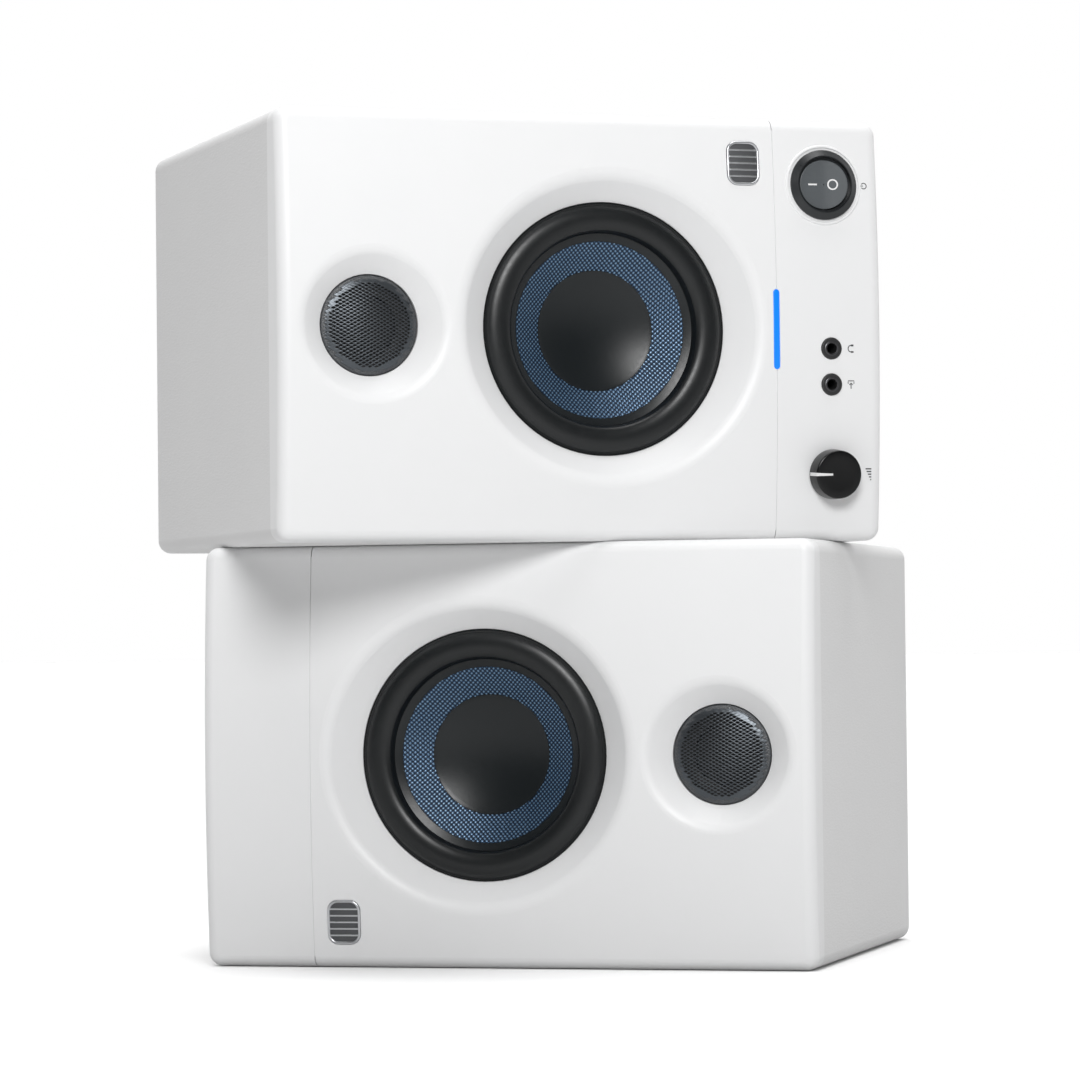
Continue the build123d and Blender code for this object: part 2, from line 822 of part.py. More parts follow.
def mains_inlet():
    """Flanged socket with a deep cavity and three blades."""
    face = BACK + PLATE_T + 2.0
    with BuildPart() as inlet:
        with BuildSketch(facing(INLET_X, face, INLET_Z)):
            RectangleRounded(44, 22.4, 3)
        extrude(amount=2.0)
        with BuildSketch(facing(INLET_X, face - 2.0, INLET_Z)):
            RectangleRounded(INLET_CAVITY[0] + 3, INLET_CAVITY[1] + 3, 2)
        extrude(amount=INLET_DEPTH)
        with BuildSketch(facing(INLET_X, face, INLET_Z)):
            RectangleRounded(*INLET_CAVITY, 2.5)
        extrude(amount=INLET_DEPTH, mode=Mode.SUBTRACT)
        with BuildSketch(facing(INLET_X, face - INLET_DEPTH, INLET_Z)):
            with Locations((-7, -1.5), (0, 1.5), (7, -1.5)):
                Rectangle(2, 4)
        extrude(amount=10.5 - 2.0)
    return inlet


def line_jacks():
    """Two full-size line sockets with their nuts."""
    with BuildPart() as jacks:
        for x in LINE_JACKS_X:
            with BuildSketch(facing(x, BACK + PLATE_T + 2.5, INPUTS_Z)):
                RegularPolygon(6.6, 6)
            extrude(amount=2.5)
            with BuildSketch(facing(x, BACK + PLATE_T + 3.5, INPUTS_Z)):
                Circle(4.5)
            extrude(amount=PLATE_T + 4.0)
            with BuildSketch(facing(x, BACK, INPUTS_Z)):
                Rectangle(15, 15)
            extrude(amount=BACK - AMP_BOARD_BACK)
            with BuildSketch(facing(x, BACK + PLATE_T + 4, INPUTS_Z)):
                Circle(3.25)
            extrude(amount=24.0, mode=Mode.SUBTRACT)
    return jacks


def phono_sockets():
    """Block with the left and right phono sockets."""
    with BuildPart() as block:
        with BuildSketch(facing(sum(PHONO_X) / 2, BACK, INPUTS_Z)):
            Rectangle(30, 13)
        extrude(amount=BACK - AMP_BOARD_BACK)
        with BuildSketch(facing(0, BACK, INPUTS_Z)):
            with Locations(*[(x, 0) for x in PHONO_X]):
                Circle(4.15)
        extrude(amount=-PLATE_T - 8.0)
        with BuildSketch(facing(0, BACK + PLATE_T + 8.0, INPUTS_Z)):
            with Locations(*[(x, 0) for x in PHONO_X]):
                Circle(1.6)
        extrude(amount=12.0, mode=Mode.SUBTRACT)
    return block


def tone_knob(x):
    """Small trim knob with its own shaft."""
    with BuildPart() as knob:
        with BuildSketch(facing(x, BACK + PLATE_T + 0.5, TONE_Z)):
            Circle(5.5)
        extrude(amount=-8.0)
        fillet(knob.edges().sort_by(Axis.Y)[-1], 0.8)
        with BuildSketch(facing(x, BACK + PLATE_T + 1.0, TONE_Z)):
            Circle(SHAFT_R)
        extrude(amount=BACK + PLATE_T + 1.0 - AMP_BOARD_BACK - 1.0)
        with BuildSketch(facing(x, BACK + PLATE_T + 8.5, TONE_Z + 2.9)):
            Rectangle(0.8, 5)
        extrude(amount=0.6, mode=Mode.SUBTRACT)
    return knob


def amplifier_board():
    """Board behind the rear panel with the trims' bodies, capacitors and a finned cooler."""
    front = AMP_BOARD_BACK - BOARD_T
    with BuildPart() as board:
        with BuildSketch(facing(0, AMP_BOARD_BACK, 104.0)):
            Rectangle(90, 56)
        extrude(amount=BOARD_T)
        for x in TONE_X:
            with BuildSketch(facing(x, AMP_BOARD_BACK, TONE_Z)):
                Rectangle(12, 12)
            extrude(amount=-14.0)
        for x in TONE_X:
            with BuildSketch(facing(x, AMP_BOARD_BACK + 15, TONE_Z)):
                Circle(SHAFT_R + SHAFT_CLEAR)
            extrude(amount=14.5, mode=Mode.SUBTRACT)
        with BuildSketch(facing(0, front, 104.0)):
            with Locations((-30, 12), (-12, 12)):
                Circle(7)
            with Locations((-34, -14)):
                Circle(5)
        extrude(amount=20)
        with BuildSketch(facing(0, front, 104.0)):
            with Locations((22, 0)):
                Rectangle(34, 40)
        extrude(amount=4)
        with BuildSketch(facing(0, front - 4, 104.0)):
            with Locations((22, 0)):
                with GridLocations(5, 0, 7, 1):
                    Rectangle(1.5, 40)
        extrude(amount=14)
    return board


def mains_transformer():
    """Laminated core with its winding and two feet, on the cabinet floor."""
    with BuildPart() as transformer:
        with BuildSketch(Plane.XY.offset(WALL)):
            with Locations((-28, 110)):
                Rectangle(54, 36)
        extrude(amount=2)
        with BuildSketch(Plane.XY.offset(WALL + 2)):
            with Locations((-28, 110)):
                Rectangle(44, 20)
        extrude(amount=38)
        with BuildSketch(Plane.XY.offset(WALL + 9)):
            with Locations((-28, 110)):
                RectangleRounded(26, 34, 4)
        extrude(amount=24)
    return transformer


# ---------------------------------------------------------------- pieces that both speakers have
block = front_block()
shared = {
    "badge": badge(),
    "port_tube": port_tube(),
    "woofer_basket": woofer_basket(),
    "woofer_magnet": woofer_magnet(),
    "woofer_cone": woofer_cone(),
    "woofer_dust_cap": woofer_dust_cap(),
    "woofer_voice_coil": woofer_voice_coil(),
    "woofer_surround": woofer_surround(),
    "woofer_spider": woofer_spider(),
    "tweeter_housing": tweeter_housing(),
    "tweeter_magnet": tweeter_magnet(),
    "tweeter_dome": tweeter_dome(),
    "tweeter_grille": tweeter_grille(),
}
for name, piece in shared.items():
    save(piece, f"passive_{name}", LOWER)
    save(piece, f"active_{name}", UPPER)

# ---------------------------------------------------------------- passive speaker
plate_x = PASSIVE_PLATE_SIZE[0] / 2 - 5
plate_z = PASSIVE_PLATE_SIZE[1] / 2 - 5
passive_screws = [
    (PASSIVE_TERMINAL[0] + side * plate_x, PASSIVE_TERMINAL[1] + end * plate_z)
    for side in (-1, 1)
    for end in (-1, 1)
]
passive_window = (*PASSIVE_TERMINAL, TERMINAL_SIZE[0] + 4, TERMINAL_SIZE[1] + 4)
passive_face = BACK + PLATE_T + 1

save(baffle(block), "passive_front_baffle", LOWER)
save(lower_strip(block), "passive_lower_trim", LOWER)
save(drilled(cabinet([passive_window]), passive_screws, BACK), "passive_cabinet", LOWER)
save(drilled(terminal_plate(), passive_screws, passive_face), "passive_terminal_plate", LOWER)
save(screws(passive_screws, passive_face, 8.0), "passive_rear_screws", LOWER)
save(terminal_block(PASSIVE_TERMINAL, passive_face), "passive_terminal_block", LOWER)
save(lever(PASSIVE_TERMINAL, passive_face, 1), "passive_red_lever", LOWER)
save(lever(PASSIVE_TERMINAL, passive_face, -1), "passive_black_lever", LOWER)
save(crossover_board(), "passive_crossover_board", LOWER)

# ---------------------------------------------------------------- active speaker
panel_x = PANEL_SIZE[0] / 2 - LEDGE / 2
panel_z = PANEL_SIZE[1] / 2 - LEDGE / 2
active_screws = [
    (side * panel_x, PANEL_Z + end * panel_z)
    for side in (-1, 0, 1)
    for end in (-1, 0, 1)
    if side or end
]
panel_window = (0, PANEL_Z, PANEL_SIZE[0] - 2 * LEDGE, PANEL_SIZE[1] - 2 * LEDGE)
active_face = BACK + PLATE_T

save(light_slot(baffle(block)), "active_front_baffle", UPPER)
save(control_panel(light_slot(lower_strip(block))), "active_control_panel", UPPER)
save(drilled(cabinet([panel_window]), active_screws, BACK), "active_cabinet", UPPER)
save(drilled(rear_panel(), active_screws, active_face), "active_rear_panel", UPPER)
save(screws(active_screws, active_face, 8.0), "active_rear_screws", UPPER)
save(terminal_block(ACTIVE_TERMINAL, active_face), "active_terminal_block", UPPER)
save(lever(ACTIVE_TERMINAL, active_face, 1), "active_red_lever", UPPER)
save(lever(ACTIVE_TERMINAL, active_face, -1), "active_black_lever", UPPER)
save(light_bar(), "active_light_bar", UPPER)
save(led_board(), "active_led_board", UPPER)
save(front_jack(AUX_X), "active_aux_jack", UPPER)
save(front_jack(PHONES_X), "active_phones_jack", UPPER)
save(volume_pot(), "active_volume_pot", UPPER)
save(volume_shaft(), "active_volume_shaft", UPPER)
save(volume_knob(), "active_volume_knob", UPPER)
save(switch_body(), "active_power_switch_body", UPPER)
save(rocker(), "active_power_rocker", UPPER)
save(control_board(), "active_control_board", UPPER)
save(mains_inlet(), "active_mains_inlet", UPPER)
save(line_jacks(), "active_line_jacks", UPPER)
save(phono_sockets(), "active_phono_sockets", UPPER)
save(tone_knob(TONE_X[0]), "active_treble_knob", UPPER)
save(tone_knob(TONE_X[1]), "active_bass_knob", UPPER)
save(amplifier_board(), "active_amplifier_board", UPPER)
save(mains_transformer(), "active_mains_transformer", UPPER)
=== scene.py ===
"""The looks of two desktop speakers that lie on their sides, one on the other.

Pieces are worked out in the standing frame of the speaker they belong to, in millimetres: X to the
right as seen from its front, Y towards its back with 0 at the front's side edges, and Z up from its
base. STANDING holds each speaker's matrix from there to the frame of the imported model, in metres.
"""

import json
from math import asin, atan2, ceil, cos, pi, radians, sin, sqrt, tan

import bmesh
import bpy
import numpy as np
from mathutils import Matrix, Vector


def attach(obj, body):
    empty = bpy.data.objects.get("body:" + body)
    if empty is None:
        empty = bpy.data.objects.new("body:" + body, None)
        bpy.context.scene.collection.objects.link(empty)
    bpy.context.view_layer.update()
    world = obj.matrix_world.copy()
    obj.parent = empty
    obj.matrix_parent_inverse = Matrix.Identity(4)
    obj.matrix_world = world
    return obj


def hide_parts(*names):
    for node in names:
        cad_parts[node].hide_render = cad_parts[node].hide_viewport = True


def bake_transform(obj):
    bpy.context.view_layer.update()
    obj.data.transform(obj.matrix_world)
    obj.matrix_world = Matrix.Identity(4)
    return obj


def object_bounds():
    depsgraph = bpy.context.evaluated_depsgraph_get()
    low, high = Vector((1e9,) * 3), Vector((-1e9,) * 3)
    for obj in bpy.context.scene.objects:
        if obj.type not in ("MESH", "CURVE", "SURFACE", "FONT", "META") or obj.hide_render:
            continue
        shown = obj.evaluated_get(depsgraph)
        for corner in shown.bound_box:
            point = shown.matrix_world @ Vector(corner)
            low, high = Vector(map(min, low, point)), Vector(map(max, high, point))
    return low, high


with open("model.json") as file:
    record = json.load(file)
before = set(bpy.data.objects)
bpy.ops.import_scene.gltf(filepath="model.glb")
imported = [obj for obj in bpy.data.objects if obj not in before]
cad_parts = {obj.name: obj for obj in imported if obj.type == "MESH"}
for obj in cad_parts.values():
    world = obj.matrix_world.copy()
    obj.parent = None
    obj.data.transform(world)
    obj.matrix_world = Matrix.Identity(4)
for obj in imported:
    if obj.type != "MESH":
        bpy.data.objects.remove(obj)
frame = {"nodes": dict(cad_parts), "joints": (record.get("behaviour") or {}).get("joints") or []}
cad_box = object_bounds()

# ---------------------------------------------------------------- dimensions, in millimetres
MM = 0.001
WIDTH = 141.0
CROWN = 3.4  # how far the middle of the front stands out past its side edges
CROWN_R = (CROWN**2 + (WIDTH / 2) ** 2) / (2 * CROWN)
BACK = 166.0
PLATE_T = 1.5
LEVER_PINS = {"passive": (8.5, 174.5, 78.0), "active": (-17.5, 173.5, 96.0)}  # of the red levers

WOOFER_Z = 96.0
CONE_R = 29.3  # where the cone's straight slope ends
CONE_SLOPE = (16.25 - 11.1) / (CONE_R - 19.7)
WEAVE_INNER = 19.5
WEAVE_OUTER = 29.4
WEAVE_FLOOR = -11.0  # height of the gaps between the strands at CONE_R
WEAVE_RELIEF = 0.32
WEAVE_PITCH = 1.1
STRAND_HALF = 0.46  # half a strand's width, as a share of the pitch
STRAND_DIP = 0.12  # share of its height that a strand keeps where it runs under another

TWEETER_Z = 178.0
MESH_R = 13.9
MESH_PITCH = (1.22, 2.2)  # across and along the diamonds of the tweeter's grille
MESH_T = 0.28
HOLE_SHARE = 0.8
MESH_TUCK = 1.2  # how far the mesh runs on under the rim
GRILLE_APEX = 0.3  # depth of the middle of the grille's dome
GRILLE_EDGE = (15.2, 3.6)  # radius and depth that its curve runs through
GRILLE_REACH = 15.0  # radius where the dome ends and its rim rolls over

BADGE_SPOT = (55.4, 49.0)
BADGE_SIZE = (14.8, 11.5)
BADGE_CORNER = 3.6
BADGE_RIM = 0.85
BADGE_BARS = (-4.4, -2.2, 0.0, 2.2, 4.4)
KNOB_SPOT = (-48.3, 18.5)
SWITCH_SPOT = (48.7, 20.5)
ROCKER_PIVOT = -1.0  # height of the rocker's pin above the panel
ROCKER_TILT = radians(6.0)
ROCKER_FACE = (9.0, 2.6, 1.9)  # half height, height at its ends and height at its middle
ROCKER_BEND = 1.5  # how far from its middle the bend is softened
ROCKER_PROUD = 0.14  # how far the finger face stands off the CAD rocker
JACKS_X = (-18.3, -6.25)
JACK_Z = 18.8
JACK_FACE = -3.8  # depth of the bushes' faces
SEAM_Z = 38.35
SEAM_REACH = 67.0
TONGUE_LIFTS = (-4.0, -0.35)  # back and face of the tongue that closes the seam
TONGUE_HALF = 0.2
LIGHT_SIZE = (26.7, 2.2)
LIGHT_HEIGHTS = (-1.4, 3.3)  # of the bar's back and face
LABEL_Z = {"power": 5.8, "volume": 5.3, "jacks": 11.8}

PHONO_X = (-22.0, -38.0)
INPUTS_Z = 122.0
TONE_X = {"treble": 30.0, "bass": 10.0}
TONE_Z = 96.0
TONE_KNOB_TOP = 8.0
FLUTES = 24
FLUTE_FROM = 4.7  # radius past which the flutes are cut
FLUTE_DEPTH = 0.22
TICK_RADII = (6.9, 7.9)
TERMINAL_T = 7.0
TERMINALS = {  # middle of each terminal block across and up the back, and the depth of its face
    "passive": (0.0, 70.0, BACK + 2.5 + TERMINAL_T),
    "active": (-26.0, 88.0, BACK + PLATE_T + TERMINAL_T),
}
LEVER_PITCH = 17.0
POLARITY_RISE = 11.3

# ---------------------------------------------------------------- light and camera
STUDIO_AXIS = Vector((-0.2, 1, 0)).normalized()  # towards the brightest part of the studio
# Along that axis: where the brightening starts and ends, and the levels before and after it.
STUDIO = (-0.45, 0.45, 0.1, 1.0)
KEY_LIGHT = (0.33, -1.0, 0.52)
CAMERA_SPOT = (0.39650, -1.50671, 0.10634)
CAMERA_ANGLES = (-0.26323, 0.02399, -0.01056)  # yaw, pitch and roll
SENSOR_WIDTH = 36
FOCAL_LENGTH = 148.53

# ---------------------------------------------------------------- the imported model
SPEAKERS = ("passive", "active")
SPEAKER_BODIES = ("speaker", "woofer", "tweeter", "red_terminal", "black_terminal")
UPPER_TURN = radians(33.6)  # how far the upper speaker is turned about the vertical
PAIR_MIDDLE = (cad_box[0] + cad_box[1]) / 2
JOINTS = {joint["name"]: joint for joint in frame["joints"]}


# ---------------------------------------------------------------- places
def standing_frame(speaker):
    """Matrix from a speaker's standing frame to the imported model's, read from its joints."""
    front = Vector(JOINTS[f"{speaker}_woofer_travel"]["axis"])
    lever = JOINTS[f"{speaker}_red_lever_push"]
    right = -Vector(lever["axis"])
    turn = Matrix((right, -front, right.cross(-front))).transposed()
    origin = Vector(lever["pos_m"]) - turn @ (Vector(LEVER_PINS[speaker]) * MM)
    return Matrix.Translation(origin) @ turn.to_4x4() @ Matrix.Scale(MM, 4)


STANDING = {speaker: standing_frame(speaker) for speaker in SPEAKERS}


def plane(origin, right, up):
    """Matrix of a plane from its origin and its two directions; its own Z points out of it."""
    right = Vector(right)
    up = Vector(up)
    matrix = Matrix((right, up, right.cross(up))).transposed().to_4x4()
    matrix.translation = origin
    return matrix


def facing(x, depth, z):
    """Plane that looks straight out of the front."""
    return plane((x, depth, z), (1, 0, 0), (0, 0, 1))


def behind(x, depth, z):
    """Plane that looks straight out of the back."""
    return plane((x, depth, z), (-1, 0, 0), (0, 0, 1))


def on_front(x, z, lift=0.0):
    """Plane that lies on the crowned front, or lifted off it."""
    lean = asin(x / CROWN_R)
    spot = Vector(((CROWN_R + lift) * sin(lean), CROWN_R - CROWN - (CROWN_R + lift) * cos(lean), z))
    return plane(spot, (cos(lean), sin(lean), 0), (0, 0, 1))


# ---------------------------------------------------------------- shapes
def rounded(corners, steps=5):
    """Outline of corners (x, y, radius), each rounded unless it comes without a radius."""
    points = []
    befores = corners[-1:] + corners[:-1]
    afters = corners[1:] + corners[:1]
    for before, corner, after in zip(befores, corners, afters):
        here = Vector(corner[:2])
        if len(corner) == 2:
            points.append(here)
            continue
        to_before = (Vector(before[:2]) - here).normalized()
        to_after = (Vector(after[:2]) - here).normalized()
        half = to_before.angle(to_after) / 2
        centre = here + (to_before + to_after).normalized() * corner[2] / sin(half)
        start = here + to_before * corner[2] / tan(half) - centre
        end = here + to_after * corner[2] / tan(half) - centre
        first = atan2(start.y, start.x)
        sweep = (atan2(end.y, end.x) - first + pi) % (2 * pi) - pi
        for step in range(steps + 1):
            angle = first + sweep * step / steps
            points.append(centre + corner[2] * Vector((cos(angle), sin(angle))))
    return points


def lathe(outline, steps=128):
    """Closed outline of (radius, height) points turned about the plane's Z."""
    bm = bmesh.new()
    rings = []
    for step in range(steps):
        angle = 2 * pi * step / steps
        rings.append([bm.verts.new((r * cos(angle), r * sin(angle), h)) for r, h in outline])
    for ring, following in zip(rings, rings[1:] + rings[:1]):
        for k in range(len(outline)):
            after = (k + 1) % len(outline)
            bm.faces.new((ring[k], following[k], following[after], ring[after]))
    bmesh.ops.remove_doubles(bm, verts=bm.verts, dist=0.0005)
    bmesh.ops.recalc_face_normals(bm, faces=bm.faces)
    return bm


def stack(size, corner, levels, steps=6):
    """Rounded rectangle built up in levels of (inset, height), closed at both ends."""
    bm = bmesh.new()
    rings = []
    for inset, height in levels:
        x = size[0] / 2 - inset
        y = size[1] / 2 - inset
        r = max(corner - inset, 0.05)
        outline = rounded([(x, y, r), (-x, y, r), (-x, -y, r), (x, -y, r)], steps)
        rings.append([bm.verts.new((p.x, p.y, height)) for p in outline])
    for ring, following in zip(rings, rings[1:]):
        for k in range(len(ring)):
            after = (k + 1) % len(ring)
            bm.faces.new((ring[k], ring[after], following[after], following[k]))
    bm.faces.new(rings[0])
    bm.faces.new(rings[-1])
    bmesh.ops.recalc_face_normals(bm, faces=bm.faces)
    return bm


def slab(size, corner, low, high, edge=0.25):
    """Rounded rectangle from low to high with a rounded upper edge."""
    angles = np.linspace(0, pi / 2, 5)
    softened = [(edge * (1 - cos(a)), high - edge * (1 - sin(a))) for a in angles]
    return stack(size, corner, [(0, low), *softened])


def loft(sections):
    """Four-sided bar through sections of four points each, closed at both ends."""
    bm = bmesh.new()
    rings = [[bm.verts.new(point) for point in section] for section in sections]
    for a, b in zip(rings, rings[1:]):
        for k in range(4):
            bm.faces.new((a[k], a[k - 1], b[k - 1], b[k]))
    bm.faces.new(rings[0])
    bm.faces.new(rings[-1])
    bmesh.ops.recalc_face_normals(bm, faces=bm.faces)
    return bm


def ribbon(points, width, thickness=0.05, closed=False):
    """Flat line of ink through the points, lying on the plane."""
    bm = bmesh.new()
    count = len(points)
    pairs = []
    for k, point in enumerate(points):
        before = points[k - 1] if k or closed else point
        after = points[(k + 1) % count] if k < count - 1 or closed else point
        along = (Vector(after) - Vector(before)).normalized()
        side = Vector((-along.y, along.x)) * width / 2
        left = Vector(point) + side
        right = Vector(point) - side
        pairs.append([bm.verts.new((*v, h)) for h in (thickness, 0) for v in (left, right)])
    for a, b in zip(pairs, pairs[1:] + (pairs[:1] if closed else [])):
        for i, j in ((0, 1), (1, 3), (3, 2), (2, 0)):
            bm.faces.new((a[i], a[j], b[j], b[i]))
    if not closed:
        for end in (pairs[0], pairs[-1]):
            bm.faces.new((end[0], end[1], end[3], end[2]))
    bmesh.ops.recalc_face_normals(bm, faces=bm.faces)
    return bm


def arc(radius, first, last, centre=(0, 0), steps=24):
    """Points along an arc, its angles in degrees."""
    angles = np.radians(np.linspace(first, last, steps + 1))
    return [(centre[0] + radius * cos(a), centre[1] + radius * sin(a)) for a in angles]


def ring_of(radius, centre=(0, 0), steps=32):
    """Points round a full circle, without the first one repeated."""
    return arc(radius, 0, 360, centre, steps)[:-1]


# ---------------------------------------------------------------- pieces
def piece(name, bm, speaker, place, material, body="speaker", nodes=(), sharp=35):
    """Turn a shape into a named mesh in its place, with its material.

    It rides on the body, one of its speaker's or any other by its full name, unless that is None,
    and it stands in for the speaker's nodes. Edges bent more sharply than sharp degrees stay crisp.
    """
    mesh = bpy.data.meshes.new(name)
    bm.to_mesh(mesh)
    bm.free()
    mesh.transform(STANDING[speaker] @ place)
    mesh.shade_smooth()
    mesh.set_sharp_from_angle(angle=radians(sharp))
    mesh.materials.append(MATERIALS[material])
    thing = bpy.data.objects.new(name, mesh)
    bpy.context.scene.collection.objects.link(thing)
    if body:
        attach(thing, f"{speaker}_{body}" if body in SPEAKER_BODIES else body)
    if nodes:
        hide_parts(*[f"{speaker}_{node}" for node in nodes])
    return thing


def flex(thing, speaker):
    """Bake a ring's place into its mesh and work out each point's distance from the woofer's axis,
    which nothing uses further.
    """
    place = STANDING[speaker] @ facing(0, 0, WOOFER_Z)
    centre = place.translation
    axis = place.to_3x3().col[2].normalized()
    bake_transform(thing)
    away = [(v.co - centre) - (v.co - centre).project(axis) for v in thing.data.vertices]


# ---------------------------------------------------------------- materials
class Nodes:
    """A material's node tree with short ways to add and join nodes."""

    def __init__(self, name, colour, roughness, **sockets):
        self.material = bpy.data.materials.new(name)
        self.material.use_nodes = True
        self.tree = self.material.node_tree
        self.shader = self.tree.nodes["Principled BSDF"]
        self.shader.inputs["Base Color"].default_value = (*colour, 1)
        self.shader.inputs["Roughness"].default_value = roughness
        for socket, value in sockets.items():
            self.shader.inputs[socket.replace("_", " ")].default_value = value

    def add(self, kind, inputs=None, **settings):
        """New node with its settings and inputs; an input is a value or another node's output."""
        node = self.tree.nodes.new(f"ShaderNode{kind}")
        for key, value in settings.items():
            setattr(node, key, value)
        for key, value in (inputs or {}).items():
            if isinstance(value, bpy.types.NodeSocket):
                self.tree.links.new(value, node.inputs[key])
            else:
                node.inputs[key].default_value = value
        return node

    def where(self, turn=0.0, scale=(1, 1, 1)):
        """Place on the object, in metres, scaled and then turned about Z."""
        place = self.add("TexCoord").outputs["Object"]
        mapping = self.add("Mapping", {"Vector": place, "Scale": scale})
        mapping.inputs["Rotation"].default_value = (0, 0, turn)
        return mapping.outputs["Vector"]

    def noise(self, scale, detail=3.0, where=None):
        """Noise between 0 and 1; scale is in cycles per metre."""
        inputs = {"Scale": scale, "Detail": detail}
        inputs["Vector"] = where or self.add("TexCoord").outputs["Object"]
        return self.add("TexNoise", inputs).outputs["Fac"]

    def spread(self, value, low, high):
        """Value from 0 to 1 moved into low to high."""
        inputs = {"Value": value, "To Min": low, "To Max": high}
        return self.add("MapRange", inputs).outputs["Result"]

    def mixed(self, factor, first, second, blend="MIX"):
        """Colour mixed from two colours."""
        node = self.add("Mix", {"Factor": factor}, data_type="RGBA", blend_type=blend)
        for socket, colour in ((node.inputs[6], first), (node.inputs[7], second)):
            if isinstance(colour, bpy.types.NodeSocket):
                self.tree.links.new(colour, socket)
            else:
                socket.default_value = (*colour, 1)
        return node.outputs[2]

    def set(self, socket, value):
        """Drive one of the shader's sockets."""
        self.tree.links.new(value, self.shader.inputs[socket])

    def bump(self, height, strength, distance):
        """Relief on the shader's normal; distance is in metres."""
        inputs = {"Height": height, "Strength": strength, "Distance": distance}
        self.set("Normal", self.add("Bump", inputs).outputs["Normal"])


def moulded(name, colour, roughness, grain=0.35, **sockets):
    """Moulded plastic: fine spark-eroded grain, slight colour drift and uneven gloss."""
    nodes = Nodes(name, colour, roughness, **sockets)
    cloud = nodes.noise(60, 4)
    shade = tuple(channel * 0.93 for channel in colour)
    nodes.set("Base Color", nodes.mixed(cloud, shade, colour))
    nodes.set("Roughness", nodes.spread(nodes.noise(900, 5), roughness - 0.06, roughness + 0.06))
    nodes.bump(nodes.noise(5200, 2), grain, 0.00004)
    return nodes.material


def pressed_rim():
    """Painted metal crinkled by the press, for the grille's edge, with its raised crinkles painted
    lighter as glints.
    """
    nodes = Nodes("pressed_rim", (0.04, 0.043, 0.047), 0.32, Specular_IOR_Level=0.7)
    crinkle_and_glint = nodes.noise(2300, 2)
    # Base colour lighter on the raised crinkles: painted glints.
    nodes.set("Base Color", nodes.mixed(crinkle_and_glint, (0.012, 0.013, 0.015), (0.09, 0.097, 0.105)))
    nodes.set("Roughness", nodes.spread(crinkle_and_glint, 0.45, 0.25))
    nodes.bump(crinkle_and_glint, 0.9, 0.0003)
    return nodes.material


def machined(name, colour, roughness, metallic=1.0):
    """Metal with fine tooling marks."""
    nodes = Nodes(name, colour, roughness, Metallic=metallic)
    streaks = nodes.noise(400, 4, nodes.where(scale=(1, 1, 14)))
    nodes.set("Roughness", nodes.spread(streaks, roughness - 0.08, roughness + 0.1))
    nodes.bump(streaks, 0.08, 0.00003)
    return nodes.material


def vinyl():
    """White wrap with an embossed linen grain of upright and level threads."""
    nodes = Nodes("vinyl_wrap", (0.74, 0.74, 0.74), 0.6)
    warp = nodes.noise(1500, 2, nodes.where(UPPER_TURN, (1, 1, 0.22)))
    weft = nodes.noise(1500, 2, nodes.where(UPPER_TURN, (0.22, 0.22, 1)))
    linen = nodes.add("Math", {0: warp, 1: weft}, operation="ADD").outputs[0]
    cloud = nodes.noise(25, 3)
    nodes.set("Base Color", nodes.mixed(cloud, (0.73, 0.73, 0.733), (0.75, 0.75, 0.75)))
    nodes.set("Roughness", nodes.spread(linen, 0.5, 0.62))
    nodes.bump(linen, 0.55, 0.00014)
    return nodes.material


def front_white():
    """Satin white moulding."""
    nodes = Nodes("front_white", (0.8, 0.803, 0.807), 0.42)
    cloud = nodes.noise(30, 3)
    nodes.set("Base Color", nodes.mixed(cloud, (0.79, 0.794, 0.8), (0.81, 0.812, 0.815)))
    nodes.set("Roughness", nodes.spread(nodes.noise(500, 4), 0.38, 0.46))
    nodes.bump(nodes.noise(3800, 2), 0.1, 0.00003)
    return nodes.material


def woven():
    """Satin blue fibre whose colour follows how high each strand stands: painted shade in the gaps,
    a painted highlight on the crests.
    """
    nodes = Nodes("woven_fibre", (0.05, 0.11, 0.2), 0.3, Metallic=0.5, Specular_IOR_Level=0.7)
    height = nodes.add("Attribute", attribute_name="strand").outputs["Fac"]
    # From near-black gaps, painted shade between the strands, to pale crests, a painted highlight
    # on the fibre's blue.
    shade_and_glint_ramp = nodes.add("ValToRGB", {"Fac": height})
    shade_and_glint_ramp.color_ramp.elements[0].color = (0.001, 0.003, 0.007, 1)
    shade_and_glint_ramp.color_ramp.elements[1].color = (0.27, 0.4, 0.52, 1)
    for position, colour in ((0.5, (0.003, 0.011, 0.028, 1)), (0.8, (0.035, 0.1, 0.2, 1))):
        shade_and_glint_ramp.color_ramp.elements.new(position).color = colour
    drift = nodes.mixed(nodes.noise(140, 2), (0.78, 0.82, 0.86), (1, 1, 1))
    nodes.set("Base Color", nodes.mixed(1.0, shade_and_glint_ramp.outputs["Color"], drift, "MULTIPLY"))
    nodes.set("Roughness", nodes.spread(height, 0.5, 0.3))
    nodes.bump(nodes.noise(9000, 2), 0.3, 0.00003)
    return nodes.material


def rubber():
    """Satin rubber with a little bloom."""
    nodes = Nodes("rubber", (0.006, 0.0068, 0.0075), 0.34, Specular_IOR_Level=0.45)
    bloom = nodes.noise(80, 4)
    nodes.set("Base Color", nodes.mixed(bloom, (0.0045, 0.0056, 0.0063), (0.0075, 0.009, 0.01)))
    nodes.set("Roughness", nodes.spread(nodes.noise(600, 4), 0.28, 0.42))
    nodes.bump(nodes.noise(4200, 2), 0.18, 0.00004)
    return nodes.material


def cloth(name, colour, dark):
    """Treated cloth with fine threads that run up and down."""
    nodes = Nodes(name, colour, 0.8, Sheen_Weight=0.2)
    threads = nodes.noise(3000, 1, nodes.where(scale=(1, 1, 0.1)))
    nodes.set("Base Color", nodes.mixed(threads, dark, colour))
    nodes.set("Roughness", nodes.spread(threads, 0.7, 0.9))
    nodes.bump(threads, 0.5, 0.0001)
    return nodes.material


